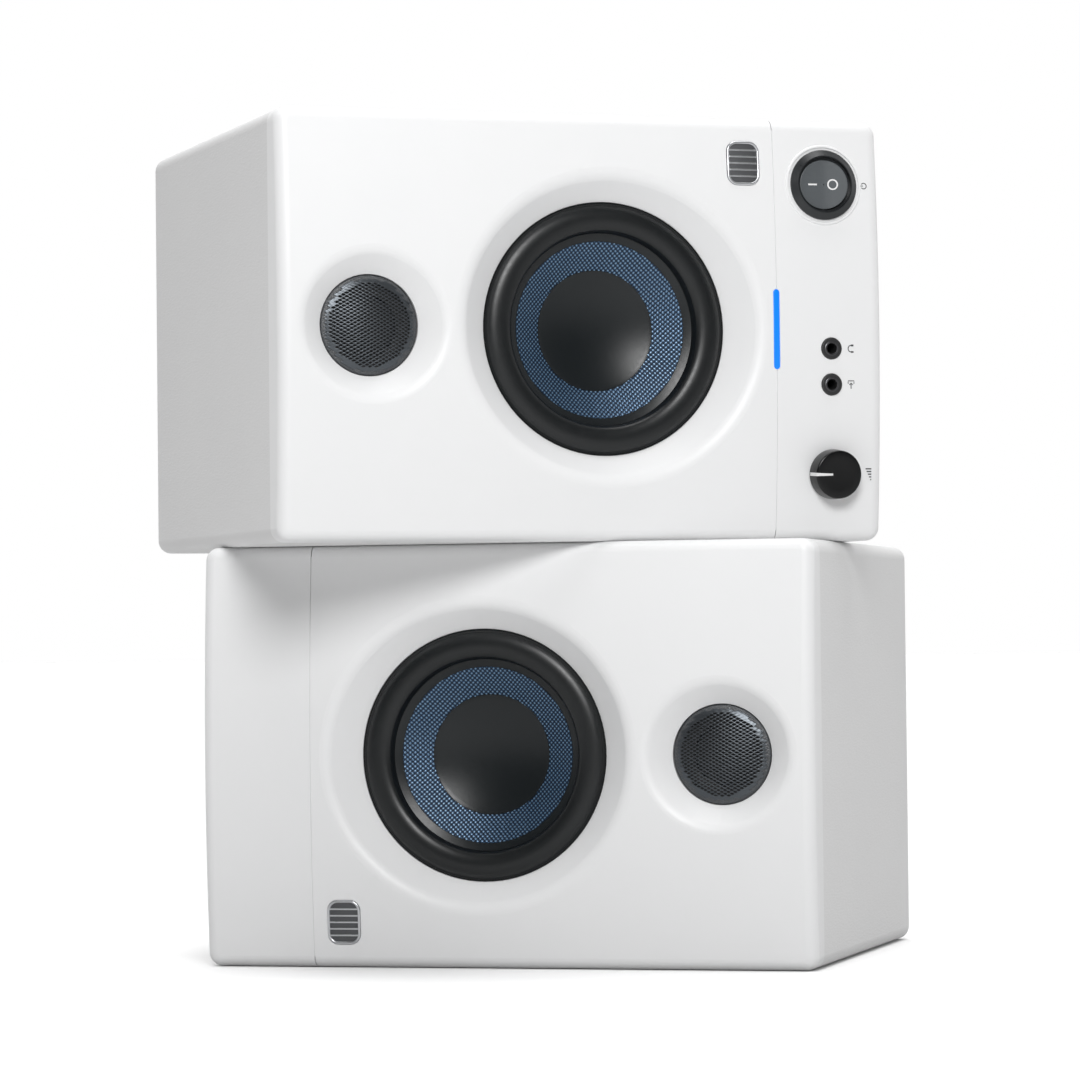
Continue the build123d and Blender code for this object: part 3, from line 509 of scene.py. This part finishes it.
def powder():
    """Fine black powder coat."""
    nodes = Nodes("powder_coat", (0.022, 0.022, 0.024), 0.55)
    orange_peel = nodes.noise(2600, 3)
    nodes.set("Roughness", nodes.spread(orange_peel, 0.45, 0.65))
    cloud = nodes.noise(50, 3)
    nodes.set("Base Color", nodes.mixed(cloud, (0.018, 0.018, 0.02), (0.027, 0.027, 0.029)))
    nodes.bump(orange_peel, 0.45, 0.00008)
    return nodes.material


def lit_bar():
    """Clear bar lit blue from behind, a touch uneven along its length."""
    blue = (0.0015, 0.235, 1.0)
    nodes = Nodes("lit_bar", (0.001, 0.03, 0.12), 0.3, Emission_Strength=1.0)
    glow = nodes.mixed(nodes.noise(90, 1), tuple(0.94 * c for c in blue), blue)
    nodes.set("Emission Color", glow)
    nodes.set("Roughness", nodes.spread(nodes.noise(700, 3), 0.25, 0.35))
    return nodes.material


def circuit_board():
    """Green solder mask in blocky cells, darker and glossier at their middles."""
    nodes = Nodes("circuit_board", (0.01, 0.12, 0.05), 0.35)
    cells = nodes.add("TexVoronoi", {"Scale": 300.0}, distance="CHEBYCHEV").outputs["Distance"]
    nodes.set("Base Color", nodes.mixed(cells, (0.008, 0.09, 0.04), (0.015, 0.16, 0.07)))
    nodes.set("Roughness", nodes.spread(cells, 0.3, 0.45))
    nodes.bump(cells, 0.2, 0.00005)
    return nodes.material


MATERIALS = {
    "front": front_white(),
    "vinyl": vinyl(),
    "woven": woven(),
    "rubber": rubber(),
    "powder": powder(),
    "spider": cloth("treated_cloth", (0.5, 0.36, 0.12), (0.36, 0.24, 0.07)),
    "silk": cloth("coated_silk", (0.006, 0.006, 0.007), (0.003, 0.003, 0.0035)),
    "light": lit_bar(),
    "board": circuit_board(),
    "basket": moulded(
        "satin_black_paint", (0.004, 0.005, 0.0056), 0.32, 0.2, Specular_IOR_Level=0.3
    ),
    "cap": moulded("cap_black", (0.0065, 0.009, 0.0105), 0.33, 0.4, Specular_IOR_Level=0.4),
    "grille": moulded("grille_paint", (0.105, 0.115, 0.126), 0.38, 0.2, Metallic=1.0),
    "grille_rim": pressed_rim(),
    "knob": moulded("knob_black", (0.003, 0.0033, 0.0036), 0.2, 0.15, Specular_IOR_Level=0.35),
    "bezel": moulded("bezel_grey", (0.017, 0.019, 0.021), 0.3, 0.35, Specular_IOR_Level=0.45),
    "rocker": moulded("rocker_grey", (0.09, 0.099, 0.106), 0.36, 0.45, Specular_IOR_Level=0.4),
    "black": moulded("moulded_black", (0.02, 0.02, 0.021), 0.45),
    "red": moulded("moulded_red", (0.42, 0.015, 0.012), 0.35),
    "white_print": moulded("white_print", (0.78, 0.78, 0.78), 0.5),
    "grey_print": moulded("grey_print", (0.07, 0.07, 0.075), 0.6),
    "chrome": machined("badge_chrome", (0.66, 0.67, 0.69), 0.3),
    "badge_field": machined("badge_field", (0.1, 0.103, 0.108), 0.42, 0.5),
    "nickel": machined("nickel", (0.6, 0.59, 0.56), 0.24),
    "blackened": machined("blackened_steel", (0.09, 0.09, 0.095), 0.36),
    "iron": machined("magnet_iron", (0.12, 0.12, 0.125), 0.6, 0.6),
    "copper": machined("coil_copper", (0.72, 0.32, 0.16), 0.3),
}

NODE_MATERIALS = {
    "cabinet": "vinyl",
    "front_baffle": "front",
    "lower_trim": "front",
    "control_panel": "front",
    "port_tube": "black",
    "woofer_basket": "basket",
    "woofer_magnet": "iron",
    "woofer_voice_coil": "copper",
    "tweeter_housing": "black",
    "tweeter_magnet": "iron",
    "terminal_plate": "black",
    "terminal_block": "black",
    "rear_screws": "blackened",
    "red_lever": "red",
    "black_lever": "black",
    "crossover_board": "board",
    "led_board": "board",
    "control_board": "board",
    "amplifier_board": "board",
    "mains_transformer": "iron",
    "rear_panel": "powder",
    "aux_jack": "black",
    "phones_jack": "black",
    "volume_pot": "nickel",
    "volume_shaft": "nickel",
    "power_switch_body": "bezel",
    "power_rocker": "rocker",
    "mains_inlet": "black",
    "line_jacks": "black",
    "phono_sockets": "nickel",
}


def dress_nodes():
    """Give each CAD node its material; unlisted ones, which pieces stand in for, get black."""
    for name, thing in frame["nodes"].items():
        kind = name.split("_", 1)[1]
        thing.data.materials.clear()
        thing.data.materials.append(MATERIALS[NODE_MATERIALS.get(kind, "black")])


# ---------------------------------------------------------------- woofer
def weave(u, v):
    """Height of a plain weave, from 0 in its gaps to 1 on its strands."""
    def strands(along, across):
        row = np.round(across / WEAVE_PITCH)
        off = across / WEAVE_PITCH - row
        crest = 0.5 + 0.5 * np.cos(pi * (along / WEAVE_PITCH + row))
        body = np.sqrt(np.clip(1 - (off / STRAND_HALF) ** 2, 0, 1))
        return body * (STRAND_DIP + (1 - STRAND_DIP) * crest)

    return np.maximum(strands(u, v), strands(v + WEAVE_PITCH, u))


def woven_ring(speaker):
    """The cone's blue ring: a fine grid that stands up along both sets of strands."""
    radii = np.linspace(WEAVE_INNER, WEAVE_OUTER, 62)
    angles = np.linspace(0, 2 * pi, 960, endpoint=False)
    r, a = np.meshgrid(radii, angles, indexing="ij")
    x = r * np.cos(a)
    z = r * np.sin(a)
    height = weave((x + z) / sqrt(2), (x - z) / sqrt(2))
    lift = WEAVE_FLOOR - CONE_SLOPE * (CONE_R - r) + WEAVE_RELIEF * height
    points = np.stack([x, z, lift], axis=-1).reshape(-1, 3)
    rows, columns = r.shape
    i, j = np.meshgrid(np.arange(rows - 1), np.arange(columns), indexing="ij")
    k = (j + 1) % columns
    near = i * columns
    far = (i + 1) * columns
    faces = np.stack([near + j, far + j, far + k, near + k], axis=-1)
    mesh = bpy.data.meshes.new("weave")
    mesh.from_pydata(points.tolist(), [], faces.reshape(-1, 4).tolist())
    bm = bmesh.new()
    bm.from_mesh(mesh)
    bpy.data.meshes.remove(mesh)
    ring = piece(
        f"{speaker}_woven_ring", bm, speaker, facing(0, 0, WOOFER_Z), "woven",
        "woofer", sharp=180,
    )
    strand = ring.data.attributes.new("strand", "FLOAT", "POINT")
    strand.data.foreach_set("value", height.reshape(-1).astype(np.float32))


def cone(speaker):
    """The cone's body under the weave, with the dark edge band that meets the surround."""
    front = [(33.3, -8.9, 0.25), (29.5, -10.75, 0.3), (29.3, -11.15), (19.5, -16.4), (10.1, -21.4)]
    back = [(10.1, -22.4), (19.7, -17.25), (29.3, -12.1), (33.3, -10.0, 0.25)]
    piece(
        f"{speaker}_cone_body", lathe(rounded(front + back), 192), speaker, facing(0, 0, WOOFER_Z),
        "cap", "woofer", ["woofer_cone"],
    )


def dust_cap(speaker):
    """Dished cap with a glued lip round its edge."""
    reach = 19.6
    deep = -19.15
    edge = -15.75
    outline = [(reach * s, deep + (edge - deep) * s**2) for s in np.linspace(0, 1, 22)]
    outline += [(reach + 0.45, edge + 0.25), (reach + 0.8, edge - 0.1), (reach + 0.8, edge - 0.7)]
    outline += [(reach * s, deep - 0.6 + (edge - deep) * s**2) for s in np.linspace(0.98, 0, 12)]
    piece(
        f"{speaker}_dished_cap", lathe(outline, 160), speaker, facing(0, 0, WOOFER_Z), "cap",
        "woofer", ["woofer_dust_cap"],
    )


def surround(speaker):
    """Rubber half-roll with its two glue flanges."""
    roll = [(36.8 + 4.4 * cos(a), -6.95 + 2.3 * sin(a)) for a in np.linspace(0.3, pi - 0.1, 24)]
    under = [(35.75 + 2.5 * cos(a), -7.35 + 2.15 * sin(a)) for a in np.linspace(pi - 0.2, 0.2, 12)]
    outline = [(41.6, -6.5), (41.5, -6.22), *roll, (32.3, -8.35), (31.95, -8.75)]
    outline += [(31.95, -9.3), (32.6, -8.95), *under, (38.6, -7.25), (39.2, -6.5)]
    ring = piece(
        f"{speaker}_roll_surround", lathe(outline, 192), speaker, facing(0, 0, WOOFER_Z), "rubber",
        body=None, nodes=["woofer_surround"], sharp=60,
    )
    flex(ring, speaker)


def spider(speaker):
    """Corrugated cloth ring behind the cone."""
    radii = np.linspace(31.2, 10.3, 120)
    ripple = [0.9 * sin(pi * (27.0 - r) / 2) if 11 < r < 27 else 0.0 for r in radii]
    front = [(r, -25.35 + h) for r, h in zip(radii, ripple)]
    back = [(r, -25.85 + h) for r, h in zip(radii[::-1], ripple[::-1])]
    ring = piece(
        f"{speaker}_pleated_spider", lathe(front + back, 96), speaker, facing(0, 0, WOOFER_Z),
        "spider", body=None, nodes=["woofer_spider"], sharp=60,
    )
    flex(ring, speaker)


# ---------------------------------------------------------------- tweeter
def grille_height(r):
    """Height of the grille's dome at a radius."""
    return -GRILLE_APEX - (GRILLE_EDGE[1] - GRILLE_APEX) * (r / GRILLE_EDGE[0]) ** 2


def grille_mesh(speaker):
    """Domed expanded-metal mesh of diamond frames; those under the rim have no hole."""
    bm = bmesh.new()
    across, along = MESH_PITCH
    reach = MESH_R + MESH_TUCK
    open_reach = MESH_R - 0.2
    half_x, half_z = across / 2, along / 2
    diamond = [Vector(c) for c in ((half_x, 0), (0, half_z), (-half_x, 0), (0, -half_z))]
    for column in range(-ceil(2 * reach / across), ceil(2 * reach / across) + 1):
        for row in range(-ceil(reach / along) - 1, ceil(reach / along) + 2):
            x = column * half_x
            z = (row + (column % 2) / 2) * along
            if sqrt(x**2 + z**2) > reach:
                continue
            outer = []
            inner = []
            for corner, following in zip(diamond, diamond[1:] + diamond[:1]):
                for share in (0.0, 0.5):
                    p = corner.lerp(following, share)
                    outer.append(bm.verts.new((x + p.x, z + p.y, 0)))
                    inner.append(bm.verts.new((x + HOLE_SHARE * p.x, z + HOLE_SHARE * p.y, -0.05)))
            for k in range(8):
                after = (k + 1) % 8
                bm.faces.new((outer[k], outer[after], inner[after], inner[k]))
            if sqrt(x**2 + z**2) > open_reach:
                bm.faces.new(inner)
    bmesh.ops.remove_doubles(bm, verts=bm.verts, dist=0.01)
    for vertex in bm.verts:
        vertex.co.z += grille_height(min(sqrt(vertex.co.x**2 + vertex.co.y**2), GRILLE_REACH))
    bmesh.ops.recalc_face_normals(bm, faces=bm.faces)
    mesh = piece(
        f"{speaker}_grille_mesh", bm, speaker, facing(0, 0, TWEETER_Z), "grille",
        sharp=80,
    )
    thickness = mesh.modifiers.new("thickness", "SOLIDIFY")
    thickness.thickness = MESH_T * MM
    thickness.offset = -1
    smooth = mesh.modifiers.new("smooth", "SUBSURF")
    smooth.levels = smooth.render_levels = 1


def grille_rim(speaker):
    """Solid pressed edge of the grille, rolled over into its skirt."""
    lip = grille_height(MESH_R)
    outline = [(MESH_R - 0.12, lip - 0.25), (MESH_R - 0.12, lip - 0.02)]
    outline += [(r, grille_height(r) + 0.05) for r in np.linspace(MESH_R, GRILLE_REACH, 6)]
    outline += rounded([(15.3, -3.62), (16.5, -3.62, 0.95), (16.5, -6.0), (15.4, -6.0)])[1:]
    outline += [(15.4, -4.1), (14.9, -3.75)]
    piece(
        f"{speaker}_grille_rim", lathe(outline, 160), speaker, facing(0, 0, TWEETER_Z),
        "grille_rim", nodes=["tweeter_grille"], sharp=40,
    )


def tweeter_dome(speaker):
    """Coated silk dome behind the grille."""
    dome = [(9.7 * s, -4.2 - 3.6 * s**2) for s in np.linspace(0, 1, 18)]
    outline = dome + [(9.7, -12.6), (9.3, -12.6)]
    outline += [(9.3 * s, -4.65 - 3.6 * s**2) for s in np.linspace(1, 0, 10)]
    piece(
        f"{speaker}_silk_dome", lathe(outline, 96), speaker, facing(0, 0, TWEETER_Z), "silk",
        "tweeter", ["tweeter_dome"],
    )


# ---------------------------------------------------------------- front details
def badge(speaker):
    """Chrome rim round a dark field crossed by five plain bars."""
    place = on_front(*BADGE_SPOT)
    rim = [(0, -0.6), (0, 0.25), (0.12, 0.4), (0.4, 0.5), (0.7, 0.42), (BADGE_RIM, 0.28)]
    rim += [(0.9, 0.12), (0.95, -0.4)]
    piece(
        f"{speaker}_badge_rim", stack(BADGE_SIZE, BADGE_CORNER, rim), speaker, place, "chrome",
        "speaker", ["badge"],
    )
    field_size = [side - 2 * BADGE_RIM for side in BADGE_SIZE]
    field = slab(field_size, BADGE_CORNER - BADGE_RIM, -0.5, 0.1, 0.05)
    piece(f"{speaker}_badge_field", field, speaker, place, "badge_field")
    for number, spot in enumerate(BADGE_BARS):
        bar = slab((0.55, BADGE_SIZE[1] - 1.4), 0.12, 0.05, 0.38, 0.12)
        bmesh.ops.translate(bar, verts=bar.verts, vec=(spot, 0, 0))
        piece(f"{speaker}_badge_bar_{number}", bar, speaker, place, "chrome")


def volume_knob():
    """Tapered knob, a little dished on top, with a white pointer that runs over its edge."""
    place = on_front(*KNOB_SPOT)
    skirt = [(0, 0.5), (8.2, 0.5, 0.15), (8.4, 0.75, 0.1), (8.38, 1.3)]
    outline = rounded(skirt + [(8.05, 6.6, 0.7), (5.2, 6.55), (0, 6.3)])
    piece(
        "active_turned_knob", lathe(outline, 128), "active", place, "knob",
        "volume_control", ["volume_knob"],
    )
    sections = []
    for r, h in [p for p in outline if p.y > 1.2 and p.x > 1] + [(2.2, 6.4)]:
        half = 0.26 + 0.035 * r
        proud = [(side, r + 0.04, h + 0.04) for side in (-half, half)]
        sunk = [(side, r - 0.1, h - 0.1) for side in (half, -half)]
        sections.append(proud + sunk)
    piece(
        "active_knob_pointer", loft(sections), "active", place, "white_print",
        "volume_control",
    )


def rocker_height(y):
    """Height of the rocker's softly bent face above its pin."""
    half, end, middle = ROCKER_FACE
    bent = sqrt(y**2 + ROCKER_BEND**2) - ROCKER_BEND
    return middle + ROCKER_PROUD + (end - middle) / half * bent


def rocker_face():
    """The rocker's finger face, with the line and circle printed on it."""
    seat = on_front(*SWITCH_SPOT, ROCKER_PIVOT) @ Matrix.Rotation(-ROCKER_TILT, 4, "X")
    edge = rounded([(8.0, -0.3), (8.34, -0.3), (8.34, 0.0, 0.28), (7.9, 0.0)])
    face = lathe(edge + [(r, 0.0) for r in np.linspace(7.6, 0, 18)], 128)
    for vertex in face.verts:
        vertex.co.z += rocker_height(vertex.co.y)
    piece("active_rocker_face", face, "active", seat, "rocker", "power_rocker")
    for name, spot, shape in (
        ("on", 3.9, ribbon([(0, -1.55), (0, 1.55)], 0.55)),
        ("off", -3.1, ribbon(ring_of(1.6), 0.5, closed=True)),
    ):
        for vertex in shape.verts:
            vertex.co.y += spot
            vertex.co.z += rocker_height(vertex.co.y) + 0.01
        piece(
            f"active_rocker_{name}_mark", shape, "active", seat, "white_print",
            "power_rocker",
        )


def switch_lip():
    """Raised white lip of the panel round the switch."""
    outline = rounded([(12.65, -0.3), (12.65, 0.5, 0.2), (13.35, 0.5, 0.45), (13.75, -0.3)])
    place = on_front(*SWITCH_SPOT)
    piece("active_switch_lip", lathe(outline, 128), "active", place, "front")


def jack_bushes():
    """Dark plated bush inside the mouth of each front socket."""
    mouth = [(1.82, -0.6), (1.82, 0.06, 0.05), (2.2, 0.1, 0.08)]
    outline = rounded(mouth + [(2.75, -0.1, 0.05), (2.75, -0.6)], 3)
    for name, x in zip(("aux", "phones"), JACKS_X):
        piece(
            f"active_{name}_bush", lathe(outline, 64), "active", facing(x, JACK_FACE, JACK_Z),
            "blackened",
        )


def light_bar():
    """Lit bar in the seam, its softly rounded face about flush with the front."""
    bar = slab(LIGHT_SIZE, LIGHT_SIZE[1] / 2 - 0.01, *LIGHT_HEIGHTS, 0.35)
    piece(
        "active_lit_bar", bar, "active", facing(0, 0, SEAM_Z), "light", "speaker",
        ["light_bar"],
    )


def seam_filler(speaker):
    """Two white tongues that close the seam just below the surface, clear of the light bar."""
    inner = LIGHT_SIZE[0] / 2 + 0.2 if speaker == "active" else 0.0
    back, face = TONGUE_LIFTS
    low, high = SEAM_Z - TONGUE_HALF, SEAM_Z + TONGUE_HALF
    corners = ((low, face), (high, face), (high, back), (low, back))
    for side, hand in ((-1, "left"), (1, "right")):
        sections = [
            [on_front(x, z, lift).translation for z, lift in corners]
            for x in np.linspace(side * inner, side * SEAM_REACH, 24)
        ]
        piece(
            f"{speaker}_seam_tongue_{hand}", loft(sections), speaker, Matrix.Identity(4), "front",
        )


def print_mark(name, strokes, x, z):
    """Ink strokes (points, width, closed) on the crowned front, as one piece."""
    bm = bmesh.new()
    for points, width, closed in strokes:
        stroke = ribbon(points, width, closed=closed)
        mesh = bpy.data.meshes.new("stroke")
        stroke.to_mesh(mesh)
        stroke.free()
        bm.from_mesh(mesh)
        bpy.data.meshes.remove(mesh)
    for vertex in bm.verts:
        local = vertex.co.copy()
        vertex.co = on_front(x + local.x, z + local.y, 0.01 + local.z).translation
    piece(name, bm, "active", Matrix.Identity(4), "grey_print")


def print_marks():
    """Small signs in place of words beside each control."""
    power = [(arc(0.95, 125, 415), 0.3, False), ([(0, 0.25), (0, 1.35)], 0.3, False)]
    print_mark("active_power_sign", power, SWITCH_SPOT[0], LABEL_Z["power"])
    volume = [
        ([(0.9 * k - 1.8, -1), (0.9 * k - 1.8, 0.42 * k - 0.6)], 0.42, False) for k in range(5)
    ]
    print_mark("active_volume_sign", volume, KNOB_SPOT[0], LABEL_Z["volume"])
    headphones = [
        (arc(1.1, 0, 180, (0, -0.1)), 0.3, False),
        ([(-1.1, -0.95), (-1.1, -0.05)], 0.6, False),
        ([(1.1, -0.95), (1.1, -0.05)], 0.6, False),
    ]
    print_mark("active_phones_sign", headphones, JACKS_X[1], LABEL_Z["jacks"])
    inward = [
        ([(0.3, 1.05), (1.25, 1.05), (1.25, -1.05), (0.3, -1.05)], 0.3, False),
        ([(-1.4, 0), (0.5, 0)], 0.3, False),
        ([(-0.1, 0.6), (0.5, 0), (-0.1, -0.6)], 0.3, False),
    ]
    print_mark("active_aux_sign", inward, JACKS_X[0], LABEL_Z["jacks"])


# ---------------------------------------------------------------- back details
def tone_knobs():
    """Trim knobs with fluted sides, a white pointer line and ticks printed round them."""
    top = TONE_KNOB_TOP
    outline = rounded([(0, 0.5), (5.4, 0.5, 0.2), (5.45, top, 0.6), (0, top)])
    for name, x in TONE_X.items():
        place = behind(x, BACK + PLATE_T, TONE_Z)
        control = f"{name}_control"
        bm = lathe(outline, FLUTES * 8)
        for vertex in bm.verts:
            r = sqrt(vertex.co.x**2 + vertex.co.y**2)
            if r > FLUTE_FROM:
                angle = atan2(vertex.co.y, vertex.co.x)
                cut = FLUTE_DEPTH * (0.5 - 0.5 * cos(FLUTES * angle))
                vertex.co.x *= 1 - cut / r
                vertex.co.y *= 1 - cut / r
        piece(
            f"active_{name}_fluted_knob", bm, "active", place, "knob", control,
            [f"{name}_knob"],
        )
        line = slab((0.7, 4.0), 0.3, top - 0.05, top + 0.06, 0.05)
        bmesh.ops.translate(line, verts=line.verts, vec=(0, 2.8, 0))
        piece(f"active_{name}_pointer", line, "active", place, "white_print", control)
        for number, turn in enumerate(range(-135, 136, 45)):
            angle = radians(90 + turn)
            tick = ribbon([(r * cos(angle), r * sin(angle)) for r in TICK_RADII], 0.3)
            piece(
                f"active_{name}_tick_{number}", tick, "active", place, "white_print"
            )


def phono_rings():
    """Coloured collar round each phono socket."""
    outline = rounded([(4.2, 0.02), (5.6, 0.02), (5.6, 0.9, 0.3), (4.2, 0.9, 0.1)])
    for x, name, material in zip(PHONO_X, ("white", "red"), ("white_print", "red")):
        place = behind(x, BACK + PLATE_T, INPUTS_Z)
        collar = lathe(outline, 72)
        piece(f"active_phono_collar_{name}", collar, "active", place, material)


def polarity_signs(speaker):
    """Plus and minus above the two terminal levers."""
    x, z, depth = TERMINALS[speaker]
    level = [(-0.9, 0), (0.9, 0)]
    upright = [(0, -0.9), (0, 0.9)]
    for side, name, strokes in ((1, "plus", (level, upright)), (-1, "minus", (level,))):
        place = behind(x + side * LEVER_PITCH / 2, depth, z + POLARITY_RISE)
        for number, points in enumerate(strokes):
            piece(
                f"{speaker}_{name}_sign_{number}", ribbon(points, 0.4, 0.06), speaker, place,
                "white_print",
            )


# ---------------------------------------------------------------- scene
def floor(name, tone, height, hidden_from):
    """Wide plain floor under the pair that some kinds of rays don't meet."""
    mesh = bpy.data.meshes.new(name)
    bm = bmesh.new()
    bmesh.ops.create_grid(bm, x_segments=4, y_segments=4, size=40)
    bm.to_mesh(mesh)
    bm.free()
    nodes = Nodes(name, (tone, tone, tone), 0.7)
    nodes.set("Roughness", nodes.spread(nodes.noise(40, 3), 0.65, 0.75))
    mesh.materials.append(nodes.material)
    thing = bpy.data.objects.new(name, mesh)
    thing.location.z = height
    bpy.context.scene.collection.objects.link(thing)
    for rays in hidden_from:
        setattr(thing, f"visible_{rays}", False)


def lamp(name, kind, offset, energy, **settings):
    """Light set off from the middle of the pair, in metres, and turned to shine at it."""
    light = bpy.data.lights.new(name, kind)
    light.energy = energy
    for key, value in settings.items():
        setattr(light, key, value)
    thing = bpy.data.objects.new(name, light)
    thing.location = PAIR_MIDDLE + Vector(offset)
    thing.rotation_euler = Vector(offset).to_track_quat("Z", "Y").to_euler()
    bpy.context.scene.collection.objects.link(thing)


def surroundings():
    """Studio light, bright behind the pair and dim behind the camera, which always sees white."""
    world = bpy.data.worlds.new("studio")
    world.use_nodes = True
    tree = world.node_tree
    tree.nodes.clear()
    direction = tree.nodes.new("ShaderNodeTexCoord")
    towards = tree.nodes.new("ShaderNodeVectorMath")
    towards.operation = "DOT_PRODUCT"
    towards.inputs[1].default_value = STUDIO_AXIS
    level = tree.nodes.new("ShaderNodeMapRange")
    level.interpolation_type = "SMOOTHSTEP"
    for name, value in zip(("From Min", "From Max", "To Min", "To Max"), STUDIO):
        level.inputs[name].default_value = value
    light = tree.nodes.new("ShaderNodeBackground")
    light.inputs["Color"].default_value = (1, 1, 1, 1)
    backdrop = tree.nodes.new("ShaderNodeBackground")
    backdrop.inputs["Color"].default_value = (1, 1, 1, 1)
    choice = tree.nodes.new("ShaderNodeMixShader")
    seen = tree.nodes.new("ShaderNodeLightPath")
    output = tree.nodes.new("ShaderNodeOutputWorld")
    tree.links.new(direction.outputs["Generated"], towards.inputs[0])
    tree.links.new(towards.outputs["Value"], level.inputs["Value"])
    tree.links.new(level.outputs["Result"], light.inputs["Strength"])
    tree.links.new(seen.outputs["Is Camera Ray"], choice.inputs[0])
    tree.links.new(light.outputs[0], choice.inputs[1])
    tree.links.new(backdrop.outputs[0], choice.inputs[2])
    tree.links.new(choice.outputs[0], output.inputs[0])
    bpy.context.scene.world = world


def camera():
    """Camera at the height of the lower speaker, to the right of the pair."""
    yaw, pitch, roll = CAMERA_ANGLES
    forward = Vector((sin(yaw) * cos(pitch), cos(yaw) * cos(pitch), sin(pitch)))
    level = Vector((cos(yaw), -sin(yaw), 0))
    upright = level.cross(forward)
    right = cos(roll) * level + sin(roll) * upright
    up = cos(roll) * upright - sin(roll) * level
    lens = bpy.data.cameras.new("camera")
    lens.sensor_width = SENSOR_WIDTH
    lens.lens = FOCAL_LENGTH
    lens.clip_start = 0.05
    lens.clip_end = 60
    thing = bpy.data.objects.new("camera", lens)
    matrix = Matrix((right, up, -forward)).transposed().to_4x4()
    matrix.translation = CAMERA_SPOT
    thing.matrix_world = matrix
    bpy.context.scene.collection.objects.link(thing)
    bpy.context.scene.camera = thing


dress_nodes()
for speaker in SPEAKERS:
    woven_ring(speaker)
    cone(speaker)
    dust_cap(speaker)
    surround(speaker)
    spider(speaker)
    grille_mesh(speaker)
    grille_rim(speaker)
    tweeter_dome(speaker)
    badge(speaker)
    seam_filler(speaker)
    polarity_signs(speaker)
volume_knob()
rocker_face()
jack_bushes()
switch_lip()
light_bar()
print_marks()
tone_knobs()
phono_rings()

# The camera sees the white floor; light, shadows and reflections meet the greyer one under it.
floor("floor_white", 0.95, -0.0002, ("diffuse", "shadow", "glossy"))
floor("floor_bounce", 0.55, -0.0004, ("camera",))
surroundings()
lamp("overhead", "SUN", (0, 0, 1), 1.75, angle=radians(40))
lamp("key", "AREA", KEY_LIGHT, 7.9, shape="DISK", size=0.42)
camera()
bpy.context.scene.view_settings.view_transform = "Standard"
